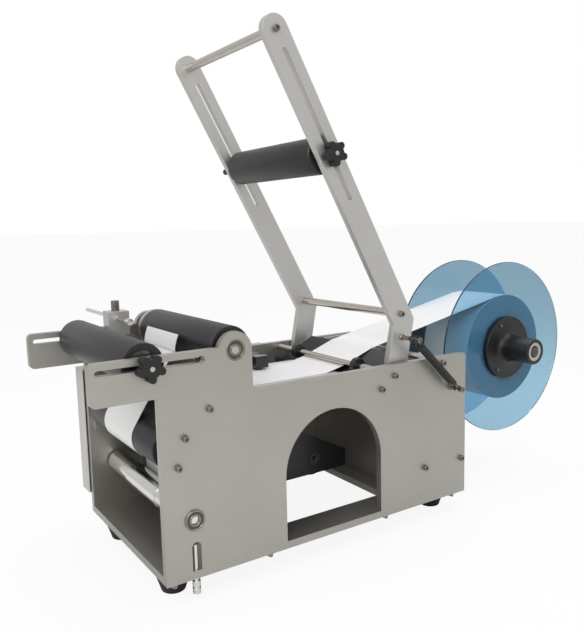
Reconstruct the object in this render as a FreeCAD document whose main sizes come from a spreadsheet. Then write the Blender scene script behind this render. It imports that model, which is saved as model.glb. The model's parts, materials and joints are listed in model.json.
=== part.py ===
import FreeCAD, Part
import math
import os
import re
import Sketcher

# Bottle labelling machine, in millimetres. The origin is on the floor at the middle of the near
# left foot, +X runs towards the label reel, +Y towards the far side plate and +Z up.
# Sizes and places are measured from the left, near, lower corner of the base plate.

doc = FreeCAD.newDocument("bottle_labelling_machine")
sheet = doc.addObject("Spreadsheet::Sheet", "sizes")
nodes = []
sizes = {
    # frame
    "base_length": 500,
    "body_width": 278,
    "base_thickness": 10,
    "foot_height": 30,
    "plate_thickness": 10,
    "body_height": 220,
    "wing_reach": 77,
    "wing_top": 277,
    "wing_bottom": 228,
    "wing_corner": 7,
    "lug_radius": 22.5,
    "step_fillet": 6,
    "slot_width": 6.5,
    "slot_left": -67,
    "slot_right": 56,
    "arch_x": 249.5,
    "arch_radius": 80,
    "arch_spring": 94.5,
    "window_left": 150,
    "window_right": 376,
    "window_near": 48,
    "window_far": 208,
    "rear_panel_inset": 91,
    "rear_panel_thickness": 12,
    "rear_panel_top": 198,
    "bay_panel_x": 78,
    "bay_panel_thickness": 4,
    "running_gap": 0.05,
    "soft_gap": 0.3,
    # feet and screws
    "foot_top_radius": 23.5,
    "foot_low_radius": 15,
    "foot_inset_x": 28,
    "foot_inset_y": 48,
    "screw_radius": 2.5,
    "screw_head_radius": 4.25,
    "screw_head_height": 5,
    "screw_length": 9.5,
    "screw_socket_radius": 2.2,
    "screw_hole_gap": 0.1,
    "shaft_hole_gap": 1,
    # bearings
    "bearing_radius": 13,
    "bearing_width": 8,
    "bearing_proud": 2,
    "shaft_radius": 5,
    # bottle rollers
    "drive_x": 102,
    "drive_z": 272,
    "drive_radius": 28,
    "front_x": -10,
    "front_z": 266,
    "front_radius": 26,
    "axle_radius": 6,
    "stud_radius": 3,
    "roller_end_gap": 4,
    "drive_end_gap": 18,
    "roller_chamfer": 2,
    "roller_recess_radius": 17,
    "roller_recess_depth": 3,
    # tie rods and the screws of the web guide
    "tie_radius": 7,
    "front_tie_x": 64,
    "front_tie_z": 206,
    "rear_tie_inset": 9,
    "rear_tie_z": 55,
    "upper_tie_inset": 49,
    "upper_tie_z": 210,
    "rear_screw_z": 56,
    "guide_screw_x": 356,
    "guide_screw_z": 204,
    "guide_tab_x": 332,
    "guide_tab_z": 188,
    "guide_tab_size": 15,
    "guide_top_x": 388,
    "guide_rise": 37,
    "guide_run": 62,
    "guide_thickness": 4,
    "guide_inset": 20,
    "base_screw_inset": 5,
    "base_screw_end": 12,
    # liner bay
    "block_screw_x": 5,
    "block_screw_z": 17,
    "spool_wound_radius": 16,
    "traction_x": 26,
    "traction_z": 159,
    "traction_radius": 27,
    "spool_x": 39,
    "spool_z": 74,
    "spool_radius": 15,
    "block_thickness": 9,
    "block_width": 40,
    "block_height": 62,
    # label table and web
    "table_z": 200,
    "table_thickness": 4,
    "table_left": 106,
    "table_right": 320,
    "table_far": 208,
    "web_width": 102,
    "web_gauge": 0.5,
    "web_rod_x": 333,
    "web_rod_z": 213,
    "web_rod_radius": 4.5,
    "collar_radius": 11.5,
    "collar_width": 9,
    "near_collar_y": 51,
    "far_collar_y": 205,
    "peel_x": 62,
    "peel_z": 262,
    "peel_thickness": 3,
    "peel_label_lean": 5,
    "peel_label_height": 22,
    # press arm
    "pivot_x": 371,
    "pivot_z": 203,
    "pivot_radius": 6,
    "leg_length": 76,
    "leg_lean": 11.4,
    "bar_length": 430,
    "bar_lean": 28.8,
    "arm_width": 36,
    "arm_thickness": 10,
    "arm_gap": 3,
    "arm_rod_radius": 6,
    "elbow_rod_up": 13,
    "press_slot_low": 200,
    "press_slot_gap": 27,
    "press_along": 264,
    "press_radius": 25,
    "press_chamfer": 4,
    # springs
    "upper_stud_along": 53,
    "spring_lower_inset": 32,
    "spring_lower_z": 171,
    "spring_radius": 4,
    "spring_near_y": -18,
    "spring_far_y": -9,
    "spring_wire_radius": 0.9,
    "spring_hook_length": 14,
    "spring_ribs": 14,
    "spring_neck_radius": 2,
    "upper_eye_radius": 3.9,
    "spring_stud_reach": 23,
    "stud_nut_radius": 5,
    # star knobs
    "knob_core_radius": 11,
    "knob_lobe_radius": 4.6,
    "knob_lobe_circle": 12,
    "knob_thickness": 13,
    "knob_standoff": 2,
    # reel
    "reel_reach": 192,
    "reel_z": 194,
    "disc_radius": 151,
    "disc_thickness": 3,
    "disc_web_gap": 1.5,
    "disc_bore_radius": 20,
    "reel_shaft_radius": 8,
    "roll_radius": 93,
    "roll_core_radius": 38,
    "flange_radius": 55,
    "flange_thickness": 8,
    "sleeve_radius": 22,
    "sleeve_length": 57,
    "sleeve_flare": 8,
    "bracket_height": 60,
    "bracket_thickness": 10,
    "bracket_overlap": 75,
    "bracket_boss_radius": 14,
    "shaft_recess": 1.5,
    # drives
    "drive_motor_x": 180,
    "drive_motor_z": 110,
    "feed_motor_x": 282,
    "feed_motor_z": 72,
    "motor_radius": 27,
    "motor_length": 90,
    "motor_shaft_radius": 4,
    "bracket_plate_y": 97,
    "bracket_plate_thickness": 4,
    "bracket_plate_left": 100,
    "bracket_plate_right": 341,
    "bracket_plate_low": 48,
    "bracket_plate_high": 146,
    "bracket_slope_x": 200,
    "bracket_slope_end": 75,
    "motor_washer_radius": 9.5,
    "motor_washer_thickness": 1.5,
    "small_pulley_radius": 12,
    "drive_pulley_radius": 20,
    "traction_pulley_radius": 20,
    "spool_pulley_radius": 11,
    "pulley_width": 9,
    "belt_thickness": 2,
    "drive_belt_inset": 15,
    "feed_belt_offset": 8,
    # far cover and controls
    "cover_left": -3,
    "cover_right": 318,
    "cover_bottom": 28,
    "cover_top": 216,
    "cover_depth": 32,
    "cover_wall": 2,
    "button_radius": 8,
    "button_gap": 0.3,
    "button_x": 240,
    "control_z": 130,
    "switch_x": 288,
    "switch_width": 18,
    "switch_height": 26,
    "switch_gap": 1,
    "rocker_pin_radius": 0.8,
    "rocker_pin_depth": 4.5,
    "panel_left": 210,
    "panel_bottom": 98,
    "panel_top": 188,
    "panel_right": 312,
    "panel_thickness": 6,
    "inlet_x": 345,
    "inlet_z": 40,
    "inlet_width": 34,
    "inlet_height": 28,
    "inlet_depth": 20,
    "inlet_wall": 3,
    "jack_x": 405,
    "jack_radius": 9,
    "jack_bore": 6,
    # bottle stop, sensor and plunger
    "stop_x": 51,
    "stop_rod_z": 288,
    "stop_rod_radius": 3,
    "stop_rod_near": 213,
    "stop_rod_far": 410,
    "stop_block_width": 31,
    "stop_block_low": 264,
    "stop_block_high": 299,
    "stop_tip_radius": 5,
    "stop_tip_length": 12,
    "thumb_radius": 6,
    "thumb_height": 15,
    "sensor_x": 228,
    "sensor_length": 22,
    "sensor_width": 40,
    "sensor_height": 22,
    "sensor_foot": 12,
    "sensor_mouth": 3.5,
    "sensor_groove": 5,
    "plunger_x": 40,
    "plunger_y": 5,
    "plunger_radius": 3,
    "plunger_knob_radius": 5,
    "plunger_drop": 20,
    "plunger_gap": 4,
    "knob_groove_low": 7,
    "notch_width": 12,
    "notch_top": 46,
}
for row, (alias, value) in enumerate(sizes.items(), 1):
    sheet.set(f"A{row}", alias)
    sheet.set(f"B{row}", str(value))
    sheet.setAlias(f"B{row}", alias)
doc.recompute()

# places that several pieces share, as expressions of the sizes
INNER = "(body_width - 2 * plate_thickness)"
FAR_FACE = "(body_width - plate_thickness)"
WEB_NEAR = "(body_width / 2 - web_width / 2)"
WEB_FAR = "(body_width / 2 + web_width / 2)"
ARM_NEAR = "(plate_thickness + arm_gap)"
ARM_FAR = "(body_width - plate_thickness - arm_gap - arm_thickness)"
ELBOW_DX = "(leg_length * sin(leg_lean))"
ELBOW_DZ = "(leg_length * cos(leg_lean))"
TOP_DX = "(leg_length * sin(leg_lean) - bar_length * sin(bar_lean))"
TOP_DZ = "(leg_length * cos(leg_lean) + bar_length * cos(bar_lean))"
SPRING_TOP_X = "(pivot_x + upper_stud_along * sin(leg_lean))"
SPRING_TOP_Z = "(pivot_z + upper_stud_along * cos(leg_lean))"
DRIVE_BELT_Y = "(body_width - plate_thickness - drive_belt_inset)"
FEED_BELT_Y = "(body_width + feed_belt_offset)"
REAR_PANEL_X = "(base_length - rear_panel_inset)"
REAR_TIE_X = "(base_length - rear_tie_inset)"
UPPER_TIE_X = "(base_length - upper_tie_inset)"
SPRING_FOOT_X = "(base_length - spring_lower_inset)"
REEL_X = "(base_length + reel_reach)"
BRACKET_START = "(base_length - bracket_overlap)"
DISC_NEAR = "(body_width / 2 - web_width / 2 - disc_web_gap - disc_thickness)"
DISC_FAR = "(body_width / 2 + web_width / 2 + disc_web_gap)"


def along_bar(distance):
    """x and z offsets from the arm's pivot to a point up the bar from its elbow."""
    return (f"({ELBOW_DX} - ({distance}) * sin(bar_lean))", f"({ELBOW_DZ} + ({distance}) * cos(bar_lean))")


def bound(text):
    """An expression of the sizes, written as FreeCAD wants it outside the sheet."""
    return re.sub(r"[A-Za-z_]+", lambda m: "sizes." + m[0] if m[0] in sizes else m[0], str(text))


def number(text):
    """The present value of an expression of the sizes."""
    result = sheet.evalExpression(str(text))
    return float(getattr(result, "Value", result))


def vector(x, y, z):
    return FreeCAD.Vector(number(x), number(y), number(z))


def place(item, x, y, z, angle="0", axis=(0, 1, 0)):
    """Puts an item by machine coordinates: from the base's corner to the foot's centre."""
    spot = [f"{x} - foot_inset_x", f"{y} - foot_inset_y", f"{z} + foot_height"]
    turn = FreeCAD.Rotation(FreeCAD.Vector(*axis), number(angle))
    item.Placement = FreeCAD.Placement(vector(*spot), turn)
    for coordinate, text in zip("xyz", spot):
        item.setExpression(f"Placement.Base.{coordinate}", bound(text))
    return item


def node(item, name):
    item.Label = name
    nodes.append(item)
    return item


def new_body(name):
    return doc.addObject("PartDesign::Body", name + "_body")


def new_sketch(body, plane):
    sketch = body.newObject("Sketcher::SketchObject", "sketch")
    support = [item for item in body.Origin.OriginFeatures if item.Role == plane][0]
    sketch.AttachmentSupport = [(support, "")]
    sketch.MapMode = "FlatFace"
    return sketch


def fix_point(sketch, geometry, point, spot):
    for kind, text in zip(("DistanceX", "DistanceY"), spot):
        constraint = Sketcher.Constraint(kind, -1, 1, geometry, point, number(text))
        index = sketch.addConstraint(constraint)
        sketch.setExpression(f"Constraints[{index}]", bound(text))


def polygon(body, plane, points):
    sketch = new_sketch(body, plane)
    spots = [vector(x, y, "0") for x, y in points]
    count = len(points)
    for index in range(count):
        sketch.addGeometry(Part.LineSegment(spots[index], spots[(index + 1) % count]), False)
    for index in range(count):
        sketch.addConstraint(Sketcher.Constraint("Coincident", index, 2, (index + 1) % count, 1))
        fix_point(sketch, index, 1, points[index])
    return sketch


def circles(body, plane, centres, radius):
    sketch = new_sketch(body, plane)
    for index, centre in enumerate(centres):
        spot = vector(centre[0], centre[1], "0")
        sketch.addGeometry(Part.Circle(spot, FreeCAD.Vector(0, 0, 1), number(radius)), False)
        fix_point(sketch, index, 3, centre)
        constraint = sketch.addConstraint(Sketcher.Constraint("Radius", index, number(radius)))
        sketch.setExpression(f"Constraints[{constraint}]", bound(radius))
    return sketch


def pad(body, sketch, depth):
    """Adds material behind the sketch: to +Y from XZ, to +Z from XY, to +X from YZ."""
    feature = body.newObject("PartDesign::Pad", "pad")
    feature.Profile = sketch
    feature.Length = number(depth)
    feature.setExpression("Length", bound(depth))
    feature.Reversed = "XZ_Plane" in sketch.AttachmentSupport[0][0].Role
    doc.recompute()
    return feature


def cut(body, sketch):
    """Cuts the sketch's outline right through the body."""
    feature = body.newObject("PartDesign::Pocket", "pocket")
    feature.Profile = sketch
    feature.Type = "ThroughAll"
    feature.Midplane = True
    doc.recompute()
    return feature


def round_edges(body, radius, picks, plane="XZ_Plane"):
    """Rounds the edges that run through the plate's thickness at the picked outline points."""
    first, second = {"XZ_Plane": (0, 2), "XY_Plane": (0, 1), "YZ_Plane": (1, 2)}[plane]
    tip = body.Tip
    names = []
    for x, y in picks:
        wanted = (number(x), number(y))
        for index, edge in enumerate(tip.Shape.Edges):
            ends = [vertex.Point for vertex in edge.Vertexes]
            if len(ends) == 2 and all(
                abs(end[first] - wanted[0]) < 0.01 and abs(end[second] - wanted[1]) < 0.01 for end in ends
            ):
                names.append(f"Edge{index + 1}")
    feature = body.newObject("PartDesign::Fillet", "fillet")
    feature.Base = (tip, names)
    feature.Radius = number(radius)
    feature.setExpression("Radius", bound(radius))
    doc.recompute()
    return feature


def turned(name, profile, axis="Y"):
    """A turned piece: profile points are (radius, distance along the axis)."""
    body = new_body(name)
    sketch = polygon(body, "XY_Plane" if axis == "Y" else "XZ_Plane", profile)
    feature = body.newObject("PartDesign::Revolution", "revolution")
    feature.Profile = sketch
    feature.ReferenceAxis = (sketch, ["V_Axis"])
    feature.Angle = 360
    doc.recompute()
    return body


def copies(pattern, spots, turns=None):
    """The pattern's shape set down at each spot."""
    doc.recompute()
    solids = []
    for index, spot in enumerate(spots):
        solid = pattern.Shape.copy()
        angle = turns[index] if turns else (FreeCAD.Vector(0, 0, 1), 0)
        solid.Placement = FreeCAD.Placement(vector(*spot), FreeCAD.Rotation(*angle)).multiply(solid.Placement)
        solids.append(solid)
    return solids


def group(name, solids):
    """Separate solids, in machine coordinates, kept together as one sub-part."""
    feature = doc.addObject("Part::Feature", name + "_group")
    feature.Shape = Part.makeCompound(solids)
    place(feature, "0", "0", "0")
    return node(feature, name)


def bar_y(radius, start, end, x, z):
    """A round bar along Y between two places, in machine coordinates."""
    length = number(f"{end} - ({start})")
    return Part.makeCylinder(number(radius), length, vector(x, start, z), FreeCAD.Vector(0, 1, 0))


def block(low, high):
    """A plain block between two corners, in machine coordinates."""
    near = vector(*low)
    far = vector(*high)
    return Part.makeBox(far.x - near.x, far.y - near.y, far.z - near.z, near)


# Base plate: one flat plate with a window under the arch, drilled for the screws and the plunger.
SIDE_SCREWS = [
    ("front_tie_x", "front_tie_z"),
    ("traction_x + block_screw_x", "traction_z + block_screw_z"),
    ("traction_x - block_screw_x", "traction_z - block_screw_z"),
    ("guide_screw_x", "guide_screw_z"),
    ("guide_tab_x", "guide_tab_z"),
    (UPPER_TIE_X, "upper_tie_z"),
    (f"{REAR_PANEL_X} + rear_panel_thickness / 2", "rear_screw_z"),
    (REAR_TIE_X, "rear_tie_z"),
]
BASE_SCREWS = [
    (x, y)
    for x in ("base_screw_end", "arch_x - arch_radius - base_screw_end * 2",
              "arch_x + arch_radius + base_screw_end", "base_length - base_screw_end * 2")
    for y in ("base_screw_inset", "body_width - base_screw_inset")
]

base = new_body("base_plate")
pad(base, polygon(base, "XY_Plane", [("0", "0"), ("base_length", "0"), ("base_length", "body_width"),
                                     ("0", "body_width")]), "base_thickness")
cut(base, polygon(base, "XY_Plane", [("window_left", "window_near"), ("window_right", "window_near"),
                                     ("window_right", "window_far"), ("window_left", "window_far")]))
cut(base, circles(base, "XY_Plane", BASE_SCREWS, "screw_radius + screw_hole_gap"))
cut(base, circles(base, "XY_Plane", [("plunger_x", "plunger_y")], "plunger_radius + running_gap"))
place(node(base, "base_plate"), "0", "0", "0")


# Side plates: the same outline on both sides, a tall box with a slotted wing and a bearing lug.
def side_plate(name, y):
    body = new_body(name)
    right = "drive_x + lug_radius"
    outline = [
        ("0", "base_thickness"), ("base_length", "base_thickness"), ("base_length", "body_height"),
        (right, "body_height"), (right, "drive_z"), ("drive_x", "drive_z"), ("drive_x", "wing_top"),
        ("-wing_reach", "wing_top"), ("-wing_reach", "wing_bottom"), ("0", "wing_bottom"),
    ]
    pad(body, polygon(body, "XZ_Plane", outline), "plate_thickness")
    pad(body, circles(body, "XZ_Plane", [("drive_x", "drive_z")], "lug_radius"), "plate_thickness")
    round_edges(body, "wing_corner", [outline[7], outline[8]])
    round_edges(body, "step_fillet", [outline[2], outline[3]])
    cut(body, circles(body, "XZ_Plane", [("drive_x", "drive_z"), ("spool_x", "spool_z")], "bearing_radius"))
    cut(body, polygon(body, "XZ_Plane", [
        ("slot_left", "front_z - slot_width / 2"), ("slot_right", "front_z - slot_width / 2"),
        ("slot_right", "front_z + slot_width / 2"), ("slot_left", "front_z + slot_width / 2")]))
    cut(body, circles(body, "XZ_Plane", [("slot_left", "front_z")], "slot_width / 2"))
    cut(body, circles(body, "XZ_Plane", [("slot_right", "front_z")], "slot_width * 0.7"))
    cut(body, circles(body, "XZ_Plane", SIDE_SCREWS, "screw_radius + screw_hole_gap"))
    place(node(body, name), "0", y, "0")
    return body


near_plate = side_plate("near_side_plate", "0")
cut(near_plate, polygon(near_plate, "XZ_Plane", [
    ("arch_x - arch_radius", "0"), ("arch_x + arch_radius", "0"),
    ("arch_x + arch_radius", "arch_spring"), ("arch_x - arch_radius", "arch_spring")]))
cut(near_plate, circles(near_plate, "XZ_Plane", [("arch_x", "arch_spring")], "arch_radius"))
cut(near_plate, polygon(near_plate, "XZ_Plane", [
    ("plunger_x - notch_width / 2", "0"), ("plunger_x + notch_width / 2", "0"),
    ("plunger_x + notch_width / 2", "notch_top - notch_width / 2"),
    ("plunger_x - notch_width / 2", "notch_top - notch_width / 2")]))
cut(near_plate, circles(near_plate, "XZ_Plane", [("plunger_x", "notch_top - notch_width / 2")],
                        "notch_width / 2"))
cut(near_plate, circles(near_plate, "XZ_Plane", [(SPRING_FOOT_X, "spring_lower_z")],
                        "stud_radius + running_gap"))
far_plate = side_plate("far_side_plate", FAR_FACE)
shaft_holes = [("traction_x", "traction_z"), ("feed_motor_x", "feed_motor_z")]
cut(far_plate, circles(far_plate, "XZ_Plane", shaft_holes, "shaft_radius + shaft_hole_gap"))


# Cross panels: the dark wall behind the liner and the wall at the reel end, between the plates.
def cross_panel(name, x, thickness, top):
    body = new_body(name)
    outline = [("0", "0"), (INNER, "0"), (INNER, f"{top} - base_thickness"), ("0", f"{top} - base_thickness")]
    pad(body, polygon(body, "YZ_Plane", outline), thickness)
    place(node(body, name), x, "plate_thickness", "base_thickness")


cross_panel("rear_cross_panel", REAR_PANEL_X, "rear_panel_thickness", "rear_panel_top")
cross_panel("bay_panel", "bay_panel_x", "bay_panel_thickness", "table_z - table_thickness")


# Label table and peel plate: the web slides over the table, up the plate and over its edge.
def extruded(name, points, start, end):
    body = new_body(name)
    pad(body, polygon(body, "XZ_Plane", points), f"{end} - ({start})")
    place(node(body, name), "0", start, "0")
    return body


extruded("label_table", [
    ("table_left", "table_z - table_thickness"), ("table_right", "table_z - table_thickness"),
    ("table_right", "table_z"), ("table_left", "table_z")], "plate_thickness", "table_far")
PEEL_SHIFT = "peel_thickness * 1.25"
extruded("peel_plate", [
    ("table_left", "table_z"), ("peel_x", "peel_z"), (f"peel_x - {PEEL_SHIFT} / 2", "peel_z"),
    (f"table_left - {PEEL_SHIFT}", "table_z"), (f"table_left - {PEEL_SHIFT}", "table_z - table_thickness"),
    ("table_left", "table_z - table_thickness")], "plate_thickness + guide_inset", "table_far")

# Black web guide: a sloped plate whose top edge carries the web, on two tabs at the side plates.
guide = extruded("web_slope_guide", [
    ("guide_top_x - guide_run", "table_z - table_thickness - guide_thickness"),
    ("guide_top_x - guide_run + guide_thickness * 2", "table_z - table_thickness - guide_thickness"),
    ("guide_top_x", "table_z + guide_rise * 0.62"), ("guide_top_x", "table_z + guide_rise * 0.74"),
    ("guide_top_x - guide_run", "table_z - table_thickness")],
    "plate_thickness + guide_inset", f"{FAR_FACE} - guide_inset")
GUIDE_TAB = [
    ("guide_tab_x - guide_tab_size / 2", "guide_tab_z - guide_tab_size / 2"),
    ("guide_tab_x + guide_tab_size / 2", "guide_tab_z - guide_tab_size / 2"),
    ("guide_tab_x + guide_tab_size / 2", "guide_tab_z + guide_tab_size / 2"),
    ("guide_tab_x - guide_tab_size / 2", "guide_tab_z + guide_tab_size / 2")]
pad(guide, polygon(guide, "XZ_Plane", GUIDE_TAB), f"{INNER} - guide_inset")
pad(guide, polygon(guide, "XZ_Plane", GUIDE_TAB), "guide_inset").Reversed = False

# Cross rods: polished bars from plate to plate, held by the side screws or let into the plates.
group("cross_rods", [
    bar_y("tie_radius", "plate_thickness", FAR_FACE, "front_tie_x", "front_tie_z"),
    bar_y("tie_radius", "plate_thickness", FAR_FACE, REAR_TIE_X, "rear_tie_z"),
    bar_y("tie_radius", "plate_thickness", FAR_FACE, UPPER_TIE_X, "upper_tie_z"),
    bar_y("web_rod_radius", "plate_thickness", FAR_FACE, "web_rod_x", "web_rod_z"),
    bar_y("pivot_radius", "plate_thickness", FAR_FACE, "pivot_x", "pivot_z"),
])

# Socket cap screws: one pattern, head outwards along -Y, set down at every place.
screw = turned("cap_screw", [
    ("0", "screw_length"), ("screw_radius", "screw_length"), ("screw_radius", "0"),
    ("screw_head_radius", "0"), ("screw_head_radius", "-screw_head_height"),
    ("screw_socket_radius", "-screw_head_height"), ("screw_socket_radius", "-screw_head_height / 2"),
    ("0", "-screw_head_height / 2")])
Z_AXIS = FreeCAD.Vector(0, 0, 1)
X_AXIS = FreeCAD.Vector(1, 0, 0)
screw_spots = [(x, "0", z) for x, z in SIDE_SCREWS] + [(x, "body_width", z) for x, z in SIDE_SCREWS]
screw_spots += [(x, y, "0") for x, y in BASE_SCREWS]
screw_turns = [(Z_AXIS, 0)] * len(SIDE_SCREWS) + [(Z_AXIS, 180)] * len(SIDE_SCREWS)
screw_turns += [(X_AXIS, 90)] * len(BASE_SCREWS)


def spring_stud(x, z, seat, shoulder, inner):
    """A stud with a nut against its plate, a thin neck for the spring eyes and a round end."""
    body = bar_y("stud_radius", shoulder, inner, x, z)
    nut = bar_y("stud_nut_radius", f"{seat} - stud_radius", seat, x, z)
    neck = bar_y("spring_neck_radius", "-spring_stud_reach", shoulder, x, z)
    end = bar_y("stud_radius * 1.4", "-spring_stud_reach - screw_radius", "-spring_stud_reach", x, z)
    return body.fuse(nut).fuse(neck).fuse(end)


group("machine_screws", copies(screw, screw_spots, screw_turns) + [
    spring_stud(SPRING_FOOT_X, "spring_lower_z", "0", "-stud_radius", "plate_thickness")])

# Rubber feet: tapered cups under the base.
foot = turned("foot", [
    ("0", "0"), ("foot_top_radius", "0"), ("foot_top_radius", "-foot_height / 8"),
    ("foot_low_radius", "-foot_height"), ("0", "-foot_height")], "Z")
group("rubber_feet", copies(foot, [
    (x, y, "0") for x in ("foot_inset_x", "base_length - foot_inset_x")
    for y in ("foot_inset_y", "body_width - foot_inset_y")]))

# Ball bearings of the drive roller and the take-up spool, pressed into the side plates.
bearing = turned("bearing", [
    ("shaft_radius + running_gap", "0"), ("shaft_radius * 1.5", "0"), ("shaft_radius * 1.5", "0.5"),
    ("bearing_radius * 0.8", "0.5"), ("bearing_radius * 0.8", "0"), ("bearing_radius", "0"),
    ("bearing_radius", "bearing_width"), ("shaft_radius + running_gap", "bearing_width")])
FAR_BEARING = "body_width - bearing_width"
group("shaft_bearings", copies(bearing, [
    ("drive_x", "0", "drive_z"), ("spool_x", "-bearing_proud", "spool_z"),
    ("drive_x", FAR_BEARING, "drive_z"), ("spool_x", FAR_BEARING, "spool_z")]))


# Bearing blocks of the traction roller, screwed to the inner faces of the side plates.
def bearing_block(start):
    low = ("traction_x - block_width / 2", start, "traction_z - block_height / 2")
    high = ("traction_x + block_width / 2", f"{start} + block_thickness", "traction_z + block_height / 2")
    end = f"{start} + block_thickness"
    return block(low, high).cut(bar_y("shaft_radius + running_gap", start, end, "traction_x", "traction_z"))


group("bearing_blocks", [bearing_block("plate_thickness"), bearing_block(f"{FAR_FACE} - block_thickness")])


# Rollers: turned about their own axis, placed on it; the shafts carry the pulleys.
def roller(name, radius, bore, start, end, x, z, chamfer):
    profile = [
        (bore, f"{start} + roller_recess_depth"), ("roller_recess_radius", f"{start} + roller_recess_depth"),
        ("roller_recess_radius", start), (f"{radius} - {chamfer}", start), (radius, f"{start} + {chamfer}"),
        (radius, f"{end} - {chamfer}"), (f"{radius} - {chamfer}", end), ("roller_recess_radius", end),
        ("roller_recess_radius", f"{end} - roller_recess_depth"), (bore, f"{end} - roller_recess_depth")]
    return place(node(turned(name, profile), name), x, "0", z)


def pulley_shaft(name, x, z, radius, start, wheel_radius, wheel_start, end):
    """A shaft with a pulley on it, in one piece."""
    wheel_end = f"{wheel_start} + pulley_width"
    profile = [
        ("0", start), (radius, start), (radius, wheel_start), (wheel_radius, wheel_start),
        (wheel_radius, wheel_end), (radius, wheel_end), (radius, end), ("0", end)]
    return place(node(turned(name, profile), name), x, "0", z)


PRESS_X = f"pivot_x + {along_bar('press_along')[0]}"
PRESS_Z = f"pivot_z + {along_bar('press_along')[1]}"
roller("drive_roller", "drive_radius", "shaft_radius", "plate_thickness + roller_end_gap",
       f"{FAR_FACE} - drive_end_gap", "drive_x", "drive_z", "roller_chamfer")
pulley_shaft("drive_shaft", "drive_x", "drive_z", "shaft_radius", "soft_gap", "drive_pulley_radius",
             DRIVE_BELT_Y, "body_width - soft_gap")
roller("traction_roller", "traction_radius", "shaft_radius",
       "plate_thickness + block_thickness + roller_end_gap", f"{FAR_FACE} - block_thickness - roller_end_gap",
       "traction_x", "traction_z", "roller_chamfer")
pulley_shaft("traction_shaft", "traction_x", "traction_z", "shaft_radius", "plate_thickness + soft_gap",
             "traction_pulley_radius", FEED_BELT_Y, f"{FEED_BELT_Y} + pulley_width + 1")
roller("front_roller", "front_radius", "axle_radius + running_gap", "plate_thickness + roller_end_gap",
       f"{FAR_FACE} - roller_end_gap", "front_x", "front_z", "roller_chamfer")
roller("press_roller", "press_radius", "axle_radius + running_gap",
       f"{ARM_NEAR} + arm_thickness + roller_end_gap * 1.5", f"{ARM_FAR} - roller_end_gap * 1.5",
       PRESS_X, PRESS_Z, "press_chamfer")

# Take-up spool: a tube on a shaft, with the wound liner and its pulley.
spool = turned("take_up_spool", [
    ("0", "soft_gap"), ("shaft_radius", "soft_gap"), ("shaft_radius", "plate_thickness + roller_end_gap"),
    ("spool_radius", "plate_thickness + roller_end_gap"), ("spool_radius", WEB_NEAR),
    ("spool_wound_radius", WEB_NEAR), ("spool_wound_radius", WEB_FAR), ("spool_radius", WEB_FAR),
    ("spool_radius", f"{FAR_FACE} - roller_end_gap"), ("shaft_radius", f"{FAR_FACE} - roller_end_gap"),
    ("shaft_radius", FEED_BELT_Y), ("spool_pulley_radius", FEED_BELT_Y),
    ("spool_pulley_radius", f"{FEED_BELT_Y} + pulley_width"), ("0", f"{FEED_BELT_Y} + pulley_width")])
place(node(spool, "take_up_spool"), "spool_x", "0", "spool_z")


# Axles with reduced ends that pass out through the slots.
def slot_axle(name, inner_start, inner_end, outer_start, outer_end, x, z):
    profile = [
        ("0", outer_start), ("stud_radius", outer_start), ("stud_radius", inner_start),
        ("axle_radius", inner_start), ("axle_radius", inner_end), ("stud_radius", inner_end),
        ("stud_radius", outer_end), ("0", outer_end)]
    return place(node(turned(name, profile), name), x, "0", z)


KNOB_REACH = "(knob_standoff + knob_thickness)"
slot_axle("front_axle", "plate_thickness + soft_gap", f"{FAR_FACE} - soft_gap", f"-{KNOB_REACH}",
          f"body_width + {KNOB_REACH}", "front_x", "front_z")
slot_axle("press_axle", f"{ARM_NEAR} + arm_thickness + soft_gap", f"{ARM_FAR} - soft_gap",
          f"{ARM_NEAR} - {KNOB_REACH}", f"{ARM_FAR} + arm_thickness + {KNOB_REACH}", PRESS_X, PRESS_Z)


# Star knobs: a core with five lobes and a round boss against the plate, on the axle's end.
def star_knob(name, x, y, z, outwards):
    body = new_body(name)
    pad(body, circles(body, "XZ_Plane", [("0", "0")], "knob_core_radius"), "knob_thickness")
    pad(body, circles(body, "XZ_Plane", [("0", "-knob_lobe_circle")], "knob_lobe_radius"), "knob_thickness")
    lobe = body.Tip
    pattern = body.newObject("PartDesign::PolarPattern", "lobes")
    pattern.Originals = [lobe]
    pattern.Axis = ([item for item in body.Origin.OriginFeatures if item.Role == "Y_Axis"][0], [""])
    pattern.Angle = 360
    pattern.Occurrences = 5
    body.Tip = pattern
    doc.recompute()
    pad(body, circles(body, "XZ_Plane", [("0", "0")], "knob_core_radius / 2"),
        f"{KNOB_REACH} - soft_gap")
    cut(body, circles(body, "XZ_Plane", [("0", "0")], "stud_radius + screw_hole_gap"))
    place(node(body, name), x, y, z, "180" if outwards > 0 else "0", (0, 0, 1))


star_knob("near_front_knob", "front_x", f"-{KNOB_REACH}", "front_z", -1)
star_knob("far_front_knob", "front_x", f"body_width + {KNOB_REACH}", "front_z", 1)
star_knob("near_press_knob", PRESS_X, f"{ARM_NEAR} - {KNOB_REACH}", PRESS_Z, -1)
star_knob("far_press_knob", PRESS_X, f"{ARM_FAR} + arm_thickness + {KNOB_REACH}", PRESS_Z, 1)


# Press arms: two dog-leg plates with a long slot, on the pivot shaft.
def elbow_corner(side):
    """The mitred corner at the elbow, on one side of the arm."""
    width = f"arm_width / 2 / cos((bar_lean + leg_lean) / 2)"
    return (f"{ELBOW_DX} + {side} * {width} * cos((bar_lean - leg_lean) / 2)",
            f"{ELBOW_DZ} + {side} * {width} * sin((bar_lean - leg_lean) / 2)")


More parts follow.
